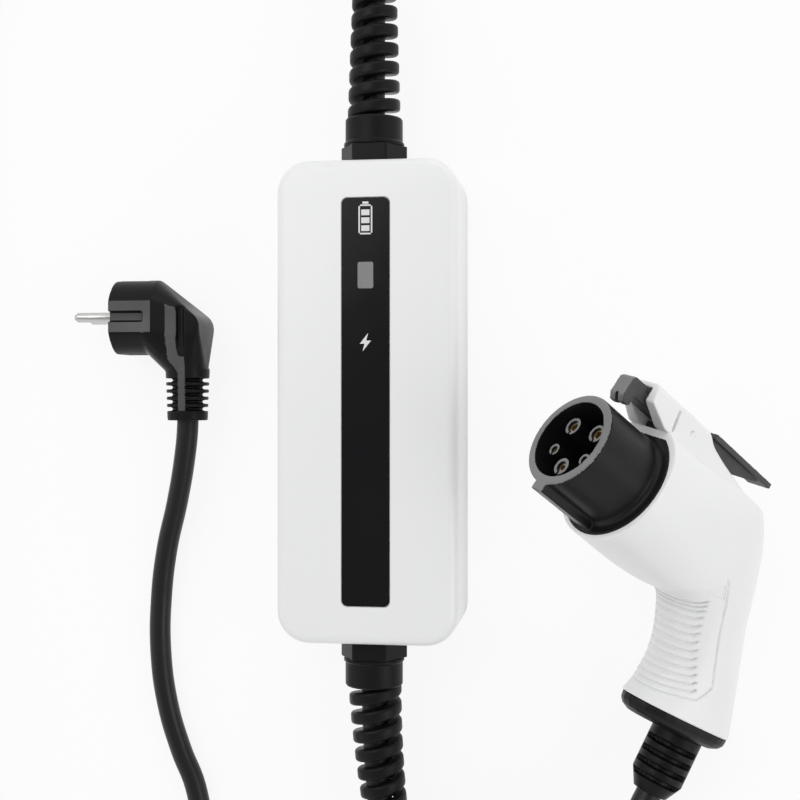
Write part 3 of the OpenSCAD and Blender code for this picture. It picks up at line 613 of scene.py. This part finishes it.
@dataclass
class ConnectorFrame:
    """Where the hand-held connector lies: +X along its nose, +Z away from its handle."""

    at: Point = (112.5, -33.0, 70.5)
    yaw: float = 138.0
    rise: float = 36.0
    roll: float = 106.0
    head_l: float = 47.0
    bend_r: float = 38.0
    bend_angle: float = 58.0
    handle_l: float = 56.0
    end_tilt: float = 24.0
    end_run: float = 40.0
    end_cap_l: float = 7.0
    boot_l: float = 30.0

    @property
    def bend_l(self) -> float:
        """Length of the bend along the middle line."""
        return self.bend_r * math.radians(self.bend_angle)

    @property
    def length(self) -> float:
        """Length of the housing along the middle line."""
        return self.head_l + self.bend_l + self.handle_l

    @property
    def matrix(self) -> Matrix:
        """From the connector's frame to the object's, in millimetres."""
        turns = ((self.yaw, "Z"), (-self.rise, "Y"), (self.roll, "X"))
        matrix = Matrix.Translation(self.at)
        for angle, axis in turns:
            matrix = matrix @ Matrix.Rotation(math.radians(angle), 4, axis)
        return matrix

    def spine(self, s: float) -> tuple[float, float, float]:
        """Middle line of the housing.

        Args:
            s: Distance along it from the flange.

        Returns:
            Place along the nose, height, and tilt of the section in radians.
        """
        bend = math.radians(self.bend_angle)
        if s <= self.head_l:
            return -s, 0.0, 0.0
        if s <= self.head_l + self.bend_l:
            f = (s - self.head_l) / self.bend_r
            return -self.head_l - self.bend_r * math.sin(f), self.bend_r * (math.cos(f) - 1.0), f
        rest = s - self.head_l - self.bend_l
        q = min(1.0, max(0.0, (s - self.length + self.end_run) / self.end_run))
        return (
            -self.head_l - self.bend_r * math.sin(bend) - rest * math.cos(bend),
            self.bend_r * (math.cos(bend) - 1.0) - rest * math.sin(bend),
            bend + math.radians(self.end_tilt) * q * q,
        )

    def boot_point(self, d: float) -> Point:
        """A place on the boot's axis in the object's frame, measured from the end cap's outer face."""
        x, z, f = self.spine(self.length)
        reach = self.end_cap_l + d
        return tuple(self.matrix @ Vector((x - reach * math.cos(f), 0.0, z - reach * math.sin(f))))


@dataclass
class GlandTail:
    """The spiral nut on one end of the box."""

    side: int
    cord_d: float
    aside: float
    drop: float
    box_l: float = 222.0
    axis_z: float = 26.0
    hex_h: float = 9.0
    collar_h: float = 13.5
    collar_d: float = 27.5
    length: float = 84.0
    pitch: float = 8.8
    ribbon_w: float = 6.0
    d1: float = 26.6
    d2: float = 21.0
    room: float = 0.6
    overlap: float = 0.2
    ribbon_r: float = 1.5
    lip: float = 0.5
    inside: float = 12.0
    knots: int = 4
    steps_per_turn: int = 48
    around: int = 72

    @property
    def start(self) -> float:
        """Distance of the spiral's start from the box's end wall."""
        return self.hex_h + self.collar_h - self.ribbon_w / 2 - self.overlap

    def axis(self, s: float) -> Vector:
        """Middle line of the tail in the gland's frame."""
        share = (s / self.length) ** 2
        return Vector((self.aside * share, s, -self.drop * share))

    def on_tail(self, s: float) -> Point:
        """A place on the tail's middle line in the object's frame."""
        a = self.axis(s)
        return (self.side * a.x, self.side * (self.box_l / 2 + self.start + a.y), self.axis_z + a.z)

    @property
    def matrix(self) -> Matrix:
        """From the gland's frame to the object's."""
        turn = Matrix.Identity(4) if self.side > 0 else Matrix.Rotation(math.pi, 4, "Z")
        return Matrix.Translation((0.0, self.side * self.box_l / 2, self.axis_z)) @ turn

    def route(self) -> list[Point]:
        """The cord's way out of the box and through the tail, in the object's frame."""
        inside = (0.0, self.side * (self.box_l / 2 - self.inside), self.axis_z)
        return [inside] + [self.on_tail(self.length * k / self.knots) for k in range(self.knots + 1)]

    def section(self, low: float, high: float) -> list[Pair]:
        """Outline of the ribbon, flat on the cord and with round outer edges.

        Args:
            low: Radius of its inner side.
            high: Radius of its outer side.

        Returns:
            Points as radius and place along the cord.
        """
        half, edge = self.ribbon_w / 2, self.ribbon_r
        arc = [math.radians(a) for a in (0, 22.5, 45, 67.5, 90)]
        points = [(low, -half), (low, 0.0), (low, half)]
        for sign, angles in ((1, arc), (-1, arc[::-1])):
            for a in angles:
                along = half - edge * (1.0 - math.cos(a))
                points.append((high - edge * (1.0 - math.sin(a)), sign * along))
        return points

    def ribbon_rings(self) -> list[Ring]:
        """The spiral ribbon, tapering to its end.

        Returns:
            Its rings in the gland's frame.
        """
        count = int(self.steps_per_turn * self.length / self.pitch)
        r0 = self.cord_d / 2 + self.room
        rings: list[Ring] = []
        for i in range(count + 1):
            s = self.length * i / count
            ahead = (self.axis(s + 1.0) - self.axis(s - 1.0)).normalized()
            e1 = ahead.cross(Vector((0, 0, 1))).normalized()
            e2 = e1.cross(ahead)
            turn = math.tau * s / self.pitch
            out = e1 * math.sin(turn) + e2 * math.cos(turn)
            r1 = (self.d1 + (self.d2 - self.d1) * s / self.length) / 2
            rings.append([tuple(self.axis(s) + out * r + ahead * y) for r, y in self.section(r0, r1)])
        return rings

    def collar_rings(self) -> list[Ring]:
        """The smooth collar, with a lip at the hexagon.

        Returns:
            Its rings in the gland's frame.
        """
        inner, side, spiral = self.cord_d / 2 + self.room, self.collar_d / 2, self.d1 / 2
        foot, end = self.hex_h, self.hex_h + self.collar_h
        lip = side + self.lip
        profile = [
            (inner, foot), (side, foot), (lip, foot + 0.5), (lip, foot + 1.5), (side, foot + 2.0),
            (side - 0.2, foot + 2.3), (spiral + 0.2, end - 1.0), (spiral - 0.4, end - 0.2),
            (spiral - 1.4, end), (inner, end),
        ]
        angles = [math.tau * i / self.around for i in range(self.around)]
        return [[(r * math.cos(a), y, r * math.sin(a)) for a in angles] for r, y in profile]

    def build(self, shop: Workshop, name: str) -> None:
        """Makes the nut as two pieces, a collar and a ribbon.

        Args:
            shop: The workshop.
            name: Name of the node that they stand for.
        """
        collar = loft(f"{name}_form", self.collar_rings(), angle=28.0, place=self.matrix)
        ribbon = loft(f"{name}_ribbon", self.ribbon_rings(), angle=40.0, place=self.matrix)
        shop.place(collar, GLAND, "black_plastic", name)
        shop.place(ribbon, GLAND, "black_plastic")


@dataclass
class Leads:
    """The two cords, from the box's glands to the plug and to the connector."""

    mains_tail: GlandTail
    vehicle_tail: GlandTail
    connector: ConnectorFrame
    mains_d: float = 10.4
    vehicle_d: float = 12.0
    plug_cord: Point = (-94.0, -9.0, 16.75)
    plug_run: Pair = (-3.0, 10.0)
    boot_knots: tuple[float, ...] = (1.3, 1.0, 0.5)
    cap_depth: float = 4.0
    coil_at: Pair = (60.0, -282.0)
    coil_r: float = 65.0
    coil_lift: float = 0.8
    coil_turns: float = 7.5
    coil_steps: int = 24
    coil_lanes: tuple[Pair, ...] = ((0, 1), (270, 1), (345, -1), (1635, -1), (1710, 1), (2700, 1))
    coil_layers: tuple[Pair, ...] = (
        (0, 0), (590, 0), (650, 1), (950, 1), (1010, 2), (1310, 2), (1370, 3), (1980, 3), (2040, 2),
        (2340, 2), (2400, 1), (2700, 1),
    )
    mains_floor: tuple[Point, ...] = (
        (-1.6, 226, 22.6), (-6.2, 237, 19.8), (-13.5, 246.5, 16.4), (-23, 253.8, 12.9), (-34, 258.4, 9.8),
        (-46, 260, 7.4), (-60, 260, 5.9), (-76, 260, 5.3), (-100, 260, 5.2), (-126, 260, 5.2),
        (-149, 257, 5.2), (-171, 248, 5.2), (-189.6, 233.6, 5.2), (-204, 215, 5.2), (-213, 193, 5.2),
        (-216, 170, 5.2), (-216, 130, 5.2), (-216, 70, 5.2), (-216, 10, 5.2), (-216, -50, 5.2),
        (-216, -110, 5.2), (-216, -170, 5.2), (-216, -208, 5.2), (-212, -229.4, 5.2), (-201.4, -248, 5.2),
        (-184.8, -262, 5.2), (-164.4, -269.6, 5.2), (-142.6, -269.6, 5.2), (-122, -262, 5.2),
        (-105.6, -248, 5.2), (-94.8, -229.4, 5.2), (-91, -208, 5.2), (-93.6, -191, 5.2), (-101, -173, 5.2),
        (-108, -150, 5.2), (-111.5, -124, 5.2), (-111, -98, 5.8), (-107.5, -73, 7.5), (-101, -49, 11),
        (-96, -27, 15),
    )
    feed_floor: tuple[Point, ...] = (
        (3.7, -226.1, 19.2), (1.1, -237, 16.5), (-6.7, -254.8, 10.9), (-9.7, -266.9, 8.5),
    )
    lead_floor: tuple[Point, ...] = (
        (130.1, -268.8, 19.6), (125.1, -249.4, 22.7), (119.3, -228.4, 26.8), (118.3, -216.5, 28),
        (119.5, -201.2, 28.5),
    )

    def mains_route(self) -> list[Point]:
        """From inside the upper gland to the plug's bore."""
        x, y, z = self.plug_cord
        return [*self.mains_tail.route(), *self.mains_floor, *((x, y + d, z) for d in self.plug_run)]

    def coil_points(self) -> list[Point]:
        """Turns of the coil: out, in and up the inside, then down the outside.

        Returns:
            Points from the coil's left side to its right side.
        """
        half = self.vehicle_d / 2
        points: list[Point] = []
        for step in range(int(self.coil_turns * self.coil_steps) + 1):
            turned = 360.0 * step / self.coil_steps
            r = self.coil_r + half * self._stepped(self.coil_lanes, turned)
            layer = self._stepped(self.coil_layers, turned)
            angle = math.radians(180.0 + turned)
            points.append((
                self.coil_at[0] + r * math.cos(angle),
                self.coil_at[1] + r * math.sin(angle),
                self.coil_lift + half + self.vehicle_d * layer,
            ))
        return points

    @staticmethod
    def _stepped(rows: Sequence[Pair], place: float) -> float:
        """A value that stays level, or changes in two even bends, between the places of its rows.

        Args:
            rows: Places and their values, in order of place.
            place: Where to read.

        Returns:
            The value.
        """
        for (p0, v0), (p1, v1) in zip(rows, rows[1:]):
            if place <= p1:
                share = (place - p0) / (p1 - p0)
                return v0 + (v1 - v0) * (2.0 * share**2 if share < 0.5 else 1.0 - 2.0 * (1.0 - share) ** 2)
        return rows[-1][1]

    def vehicle_route(self) -> list[Point]:
        """From inside the lower gland, round the coil, to the connector's end cap.

        Returns:
            Points in the object's frame.
        """
        reach = [share * self.connector.boot_l for share in self.boot_knots] + [-self.cap_depth]
        ending = [self.connector.boot_point(d) for d in reach]
        coil = self.coil_points()
        return [*self.vehicle_tail.route(), *self.feed_floor, *coil, *self.lead_floor, *ending]

    @staticmethod
    def _curve(name: str, route: Sequence[Point], diameter: float) -> Piece:
        """A round cord on one smooth open curve.

        Args:
            name: Name of the piece.
            route: Points in millimetres.
            diameter: Diameter in millimetres.

        Returns:
            The curve object.
        """
        data = bpy.data.curves.new(name, "CURVE")
        data.dimensions = "3D"
        data.bevel_depth = diameter / 2 * MM
        data.bevel_resolution = 7
        data.resolution_u = 6
        data.use_fill_caps = True
        spline = data.splines.new("BEZIER")
        spline.bezier_points.add(len(route) - 1)
        for knot, point in zip(spline.bezier_points, route):
            knot.co = Vector(point) * MM
            knot.handle_left_type = knot.handle_right_type = "AUTO"
        return add_object(name, data)

    @staticmethod
    def _length(curve: Piece) -> float:
        """Length of a curve's own line in metres."""
        return curve.data.splines[0].calc_length()

    def build(self, shop: Workshop) -> tuple[Piece, Piece]:
        """Makes both cords in place of their solids.

        Args:
            shop: The workshop.

        Returns:
            The mains cord and the vehicle cord.
        """
        mains = self._curve("mains_flex", self.mains_route(), self.mains_d)
        vehicle = self._curve("vehicle_flex", self.vehicle_route(), self.vehicle_d)
        shop.place(mains, SHEATH, "cord_rubber", "mains_cord")
        shop.place(vehicle, SHEATH, "cord_rubber", "vehicle_cord_feed", "vehicle_coil", "vehicle_cord_lead")
        return mains, vehicle


@dataclass
class ControlBox:
    """The white box with its black front panel."""

    width: float = 84.0
    length: float = 222.0
    thick: float = 50.0
    corner_r: float = 15.0
    edge_r: float = 5.0
    split_z: float = 10.8
    split_edge: tuple[Pair, ...] = ((0.5, 0.0), (0.15, 0.15), (0.0, 0.5))
    label_top: float = 50.1
    label_w: float = 22.0
    label_l: float = 186.0
    label_r: float = 2.7
    seat_gap: float = 0.5
    seat_edge: float = 0.2
    seat_depth: float = 0.5
    fillet_steps: int = 10
    ink: float = 0.06
    bolt: tuple[Pair, ...] = ((1.3, 4.2), (-2.6, -0.7), (-0.4, -0.7), (-1.3, -4.2), (2.6, 0.7), (0.4, 0.7))
    bolt_at: Pair = (0.0, 27.2)
    battery_at: Pair = (0.0, 83.0)
    battery: tuple[Row, ...] = (
        (0.7, 13.6, -2.85, 0), (0.7, 13.6, 2.85, 0), (6.4, 0.7, 0, -6.45), (6.4, 0.7, 0, 6.45),
        (2.8, 1.1, 0, 7.6), (3.8, 2.6, 0, -4), (3.8, 2.6, 0, -0.4), (3.8, 2.6, 0, 3.2),
    )

    def outline(self, inset: float, height: float) -> Ring:
        """The box's outline at a height, drawn in."""
        return round_rect(self.width - 2 * inset, self.length - 2 * inset, self.corner_r - inset, height)

    def front(self, shop: Workshop) -> None:
        """The deep front cover, with its round edge and the panel's shallow seat.

        Args:
            shop: The workshop.
        """
        rings = [self.outline(inset, self.split_z + rise) for inset, rise in self.split_edge]
        for i in range(self.fillet_steps + 1):
            a = math.pi / 2 * i / self.fillet_steps
            height = self.thick - self.edge_r * (1.0 - math.sin(a))
            rings.append(self.outline(self.edge_r * (1.0 - math.cos(a)), height))
        seat_w, seat_l = self.label_w + self.seat_gap, self.label_l + self.seat_gap
        for wider, sunk in ((self.seat_edge, 0.0), (0.0, self.seat_edge), (0.0, self.seat_depth)):
            rings.append(round_rect(
                seat_w + 2 * wider, seat_l + 2 * wider, self.label_r + wider, self.thick - sunk,
            ))
        shop.place(loft("front_shell", rings, angle=40.0), SHELL, "white_shell", "box_front_cover")

    def print_marks(self, shop: Workshop) -> None:
        """Plain pictograms on the panel: a bolt, and a battery whose bars have a size and a place each.

        Args:
            shop: The workshop.
        """
        work = bmesh.new()
        self._stamp(work, self.bolt, self.bolt_at)
        for width, length, x, y in self.battery:
            corners = [(i * width / 2, j * length / 2) for i, j in SQUARE]
            self._stamp(work, corners, (self.battery_at[0] + x, self.battery_at[1] + y))
        shop.place(settle(work, "panel_print"), PRINT, "white_shell")

    def _stamp(self, work: bmesh.types.BMesh, outline: Sequence[Pair], at: Pair) -> None:
        """Adds a thin printed shape on the panel.

        Args:
            work: Mesh that takes it.
            outline: Its outline in millimetres.
            at: Its middle.
        """
        low, high = (
            [work.verts.new(Vector((at[0] + x, at[1] + y, z)) * MM) for x, y in outline]
            for z in (self.label_top, self.label_top + self.ink)
        )
        faces = [work.faces.new(high), work.faces.new(list(reversed(low)))]
        for i in range(len(outline)):
            j = (i + 1) % len(outline)
            faces.append(work.faces.new((low[i], low[j], high[j], high[i])))
        bmesh.ops.recalc_face_normals(work, faces=faces)

    def build(self, shop: Workshop) -> None:
        """Makes the front cover and the print, and dresses the rest of the box.

        Args:
            shop: The workshop.
        """
        self.front(shop)
        self.print_marks(shop)
        shop.refine(SHELL, "box_rear_cover", edge=0.5)
        shop.refine(PANEL, "label_panel", edge=0.15)
        shop.refine(WINDOW, "indicator_lens", edge=0.2)
        shop.refine(SEAL, "box_gasket")
        shop.refine(STEEL, "box_screws", "board_screws", edge=0.2)
        shop.refine(BOARD, "circuit_board", "mains_terminals", "vehicle_terminals", edge=0.2)
        shop.refine(BLUE_CASE, "power_relays", "filter_capacitors", edge=0.3)
        shop.refine(ORANGE_CASE, "leakage_sensor")
        shop.refine(MOULDED, "power_module", edge=0.3)
        shop.refine(LAMP, "indicator_led", edge=0.1)


@dataclass
class MainsPlug:
    """The angled plug with two round pins."""

    cells: float = 0.5
    passes: int = 6
    at: Pair = (-107.5, 41.0)
    front_level: float = 0.985
    grip_level: float = 0.9
    grip_x: float = 7.0
    recess_x: float = 12.3
    recess_low: float = -19.0
    spine: Pair = (11.7, 15.3)
    spine_top: float = -28.0
    ring_top: float = -45.4

    def gets_painted_sheen(self, place: Vector, normal: Vector) -> bool:
        """Tells the up-facing flats, which get a paler colour as painted sheen, from the rest of the body.

        Args:
            place: Middle of a face in millimetres.
            normal: Its normal.

        Returns:
            Whether the face looks up beside the earth contact, on the grip or on the relief's spine, where
            a paler colour stands in for light as painted sheen; the recess beside the grip is left out, so
            it stays dark as painted shade.
        """
        x, y, up = place.x - self.at[0], place.y - self.at[1], abs(normal.z)
        if x < 0.0:
            return up > self.front_level
        widening = ramp((self.spine_top, self.recess_low), y)
        left = self.spine[0] + (self.grip_x - self.spine[0]) * widening
        right = self.recess_x if y > self.recess_low else self.spine[1]
        return left < x < right and y > self.ring_top and up > self.grip_level

    def build(self, shop: Workshop) -> list:
        """Makes the moulded body and dresses the metal.

        Args:
            shop: The workshop.

        Returns:
            The pieces on the mains cord's end.
        """
        body = soften(shop.nodes["plug_body"], "plug_moulding", self.cells, self.passes)
        shop.place(body, MOULDED, "plug_rubber", "plug_body")
        # The paler second material on the up-facing flats is painted sheen, and the recess left in the dark
        # moulding is painted shade.
        body.data.materials.append(shop.surfaces.material(PLUG_PAINTED_SHEEN))
        for face in body.data.polygons:
            face.material_index = int(self.gets_painted_sheen(face.center / MM, face.normal))
        shop.refine(STEEL, "plug_pins", edge=0.3)
        shop.refine(STEEL, "plug_earth_contacts", edge=0.2)
        return [body, "plug_pins", "plug_earth_contacts"]


@dataclass
class GripRelief:
    """Relief of the handle's grip: grooves, a line round them and a nick above them.

    A run says where a change starts and ends, measured from the place or height that it belongs to.
    """

    count: int = 13
    pitch: float = 3.8
    start: float = 77.47
    end: float = -12.0
    back: float = -4.0
    depth: float = 1.0
    half_w: float = 0.7
    curl: float = 1.3
    curl_run: Pair = (-3.0, 0.0)
    gain: float = 0.5
    gain_run: Pair = (-6.0, -1.0)
    stop_run: Pair = (-0.8, 0.4)
    line_depth: float = 0.9
    back_half_w: float = 0.42
    back_top_run: Pair = (-16.0, -12.0)
    back_foot_run: Pair = (-4.5, -3.0)
    foot_gap: float = 4.0
    foot_half_w: float = 0.6
    foot_slope: float = 0.9
    foot_run: Pair = (-0.5, 0.5)
    nick_at: float = 67.0
    nick_l: float = 11.0
    nick_w: float = 10.0
    nick_gap: float = 1.2
    nick_depth: float = 0.7
    nick_top: Pair = (0.0, 0.06)
    nick_foot: Pair = (0.94, 1.0)
    nick_front_run: Pair = (0.0, 0.7)
    nick_back_run: Pair = (-1.8, -1.2)

    def dent(self, s: float, v: float) -> float:
        """Depth of the relief at a place on the handle.

        Args:
            s: Place along the middle line.
            v: Height across the handle, towards its back.

        Returns:
            Depth in millimetres.
        """
        last = self.start + self.pitch * (self.count - 1)
        curled = s + self.curl * ramp(self.curl_run, v, self.end) - self.start
        groove = max(bell(curled - self.pitch * k, self.half_w, 4) for k in range(self.count))
        groove *= self.depth * (1.0 + self.gain * ramp(self.gain_run, v, self.end))
        groove *= 1.0 - ramp(self.stop_run, v, self.end)

        behind = bell(v - self.back, self.back_half_w)
        behind *= ramp(self.back_top_run, s, self.start) * (1.0 - ramp(self.back_foot_run, s, last))
        slope = self.foot_slope * max(0.0, v - self.end)
        below = bell(s - last - self.foot_gap + slope, self.foot_half_w)
        below *= 1.0 - ramp(self.foot_run, v, self.back)

        along = (s - self.nick_at) / self.nick_l
        front = self.back - self.nick_gap - self.nick_w * (1.0 - along)
        nick = ramp(self.nick_top, along) * (1.0 - ramp(self.nick_foot, along))
        nick *= ramp(self.nick_front_run, v, front) * (1.0 - ramp(self.nick_back_run, v, self.back))
        return max(groove, self.line_depth * max(behind, below), self.nick_depth * nick)


@dataclass
class Connector:
    """The hand-held connector."""

    frame: ConnectorFrame
    deck_z: float = 27.0
    flange_r: float = 27.2
    flange_flat: float = 23.6
    flange_t: float = 3.2
    mouth: tuple[Pair, ...] = ((0.0, 1.0), (0.3, 0.3), (1.0, 0.0))
    foot: tuple[Pair, ...] = ((0.3, 0.3), (0.0, 1.0), (0.0, 4.0))
    around: int = 272
    along: int = 310
    grip: GripRelief = field(default_factory=GripRelief)
    facing: float = 0.55
    form: tuple[Row, ...] = (
        (0, 30, 28.6, 29, 2.2), (24, 31, 28.6, 29, 2.3), (40, 33, 27.6, 28.4, 2.7),
        (54, 35.5, 25.5, 26.5, 3), (66, 28.5, 22.5, 24, 2.8), (76, 24, 20, 21.4, 2.5),
        (88, 22, 18.6, 19.6, 2.3), (106, 22, 19.6, 19, 2.2), (124, 21.5, 27.6, 19.4, 2.2),
        (142, 21, 37.4, 20.4, 2.2), (160, 20.5, 42, 20.6, 2.2),
    )
    # The last column is where the painted highlight on forward-facing faces starts along the nose, or None
    # for none.
    softened: tuple[tuple[str, str, float, int, Finish, str, float | None], ...] = (
        ("gun_top_cover", "top_cover_moulding", 0.5, 5, HANDLE, "white_shell", None),
        ("gun_nose", "nose_moulding", 0.45, 4, BARREL, "black_plastic", 31.5),
        ("contact_sleeves", "sleeve_mouldings", 0.3, 3, SLEEVE, "black_plastic", 27.6),
        ("latch_lever", "latch_moulding", 0.4, 4, ROCKER, "grey_plastic", 15.0),
        ("gun_end_cap", "end_cap_moulding", 0.45, 5, BARREL, "black_plastic", None),
        ("cord_boot", "boot_moulding", 0.4, 4, GLAND, "plug_rubber", None),
    )

    def ring(self, s: float, inset: float) -> Ring:
        """One section of the housing.

        Args:
            s: Place along the middle line.
            inset: How far the section is drawn in.

        Returns:
            Its points in the connector's frame, cut off at the deck.
        """
        x, z, f = self.frame.spine(s)
        up, down, half = (table_value(self.form, s, c) - inset for c in (1, 2, 3))
        power = 2.0 / table_value(self.form, s, 4)
        ring: Ring = []
        for i in range(self.around):
            a = -math.tau * i / self.around
            sine, cosine = math.sin(a), math.cos(a)
            v = math.copysign(abs(sine) ** power, sine) * (up if sine > 0 else down)
            w = math.copysign(abs(cosine) ** power, cosine) * half
            pull = 1.0 - self.grip.dent(s, v) / math.hypot(v, w)
            v, w = v * pull, w * pull
            ring.append((x - v * math.sin(f), w, min(self.deck_z, z + v * math.cos(f))))
        return ring

    def paint_front_highlight(self, shop: Workshop, piece: Piece, front: float) -> None:
        """Gives the faces that look forward at a moulding's front a paler grey, a painted highlight that
        stands in for light falling on them.

        Args:
            shop: The workshop.
            piece: The moulding.
            front: Place along the nose from which faces count.
        """
        piece.data.materials.append(shop.surfaces.material(FRONT_PAINTED_HIGHLIGHT))
        into = self.frame.matrix.inverted()
        ahead = (self.frame.matrix.to_3x3() @ Vector((1.0, 0.0, 0.0))).normalized()
        for face in piece.data.polygons:
            if face.normal.dot(ahead) > self.facing and (into @ (face.center / MM)).x > front:
                face.material_index = 1

    def front_ring(self, radius: float, x: float) -> Ring:
        """A circle with the flange's flat top, in step with the housing's sections."""
        angles = (-math.tau * i / self.around for i in range(self.around))
        return [(x, radius * math.cos(a), min(self.flange_flat, radius * math.sin(a))) for a in angles]

    def housing(self, shop: Workshop) -> Piece:
        """The white housing, from the flange's seat to the end cap.

        Args:
            shop: The workshop.

        Returns:
            The housing.
        """
        length = self.frame.length
        rings = [self.front_ring(self.flange_r, -self.flange_t), self.front_ring(self.flange_r, 0.0)]
        start, end = self.mouth[-1][0], length - self.mouth[-1][0]
        rings += [self.ring(s, inset) for s, inset in self.mouth]
        rings += [self.ring(start + (end - start) * (i + 1) / self.along, 0.0) for i in range(self.along)]
        rings += [self.ring(length - s, inset) for s, inset in self.foot]
        housing = loft("housing_moulding", rings, angle=38.0, place=self.frame.matrix)
        return shop.place(housing, HANDLE, "white_shell", "gun_housing")

    def build(self, shop: Workshop) -> list:
        """Makes the connector's pieces.

        Args:
            shop: The workshop.

        Returns:
            The pieces on the vehicle cord's end.
        """
        near_cord: list = [self.housing(shop)]
        for node, name, cells, passes, finish, slot, front in self.softened:
            piece = soften(shop.nodes[node], name, cells, passes)
            shop.place(piece, finish, slot, node, body=LATCH if node == "latch_lever" else BODY)
            # Forward-facing faces get a paler grey as a painted highlight.
            if front is not None:
                self.paint_front_highlight(shop, piece, front)
            if node in ("gun_end_cap", "cord_boot"):
                near_cord.append(piece)
        shop.refine(BRASS, "power_contacts", "signal_contacts")
        shop.refine(HANDLE, "latch_pin")
        shop.refine(STEEL, "latch_spring")
        shop.refine(BARREL, "latch_switch")
        shop.refine(CARRIER, "contact_carrier", edge=0.3)
        return near_cord


def main() -> None:
    """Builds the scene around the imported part."""
    logging.basicConfig(level=logging.INFO, format="%(message)s")
    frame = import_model()
    shop = Workshop(frame["nodes"], SurfaceKit())

    studio = Studio()
    studio.camera()
    mains_tail = GlandTail(1, 10.4, 0.0, 1.5)
    vehicle_tail = GlandTail(-1, 12.0, -5.0, 4.5)
    place = ConnectorFrame()
    leads = Leads(mains_tail, vehicle_tail, place)
    mains, vehicle = leads.build(shop)

    ControlBox().build(shop)
    for lead, tail in (("mains", mains_tail), ("vehicle", vehicle_tail)):
        tail.build(shop, f"{lead}_gland_nut")
        shop.refine(GLAND, f"{lead}_gland_body", edge=0.6)
        shop.refine(GLAND, f"{lead}_gland_locknut")
        shop.refine(SEAL, f"{lead}_gland_seal")
    plug = MainsPlug().build(shop)
    connector = Connector(place).build(shop)
    shop.refine(TAPE, "coil_tie", edge=0.2)

    studio.floor()
    studio.lights()


if __name__ == "__main__":
    main()
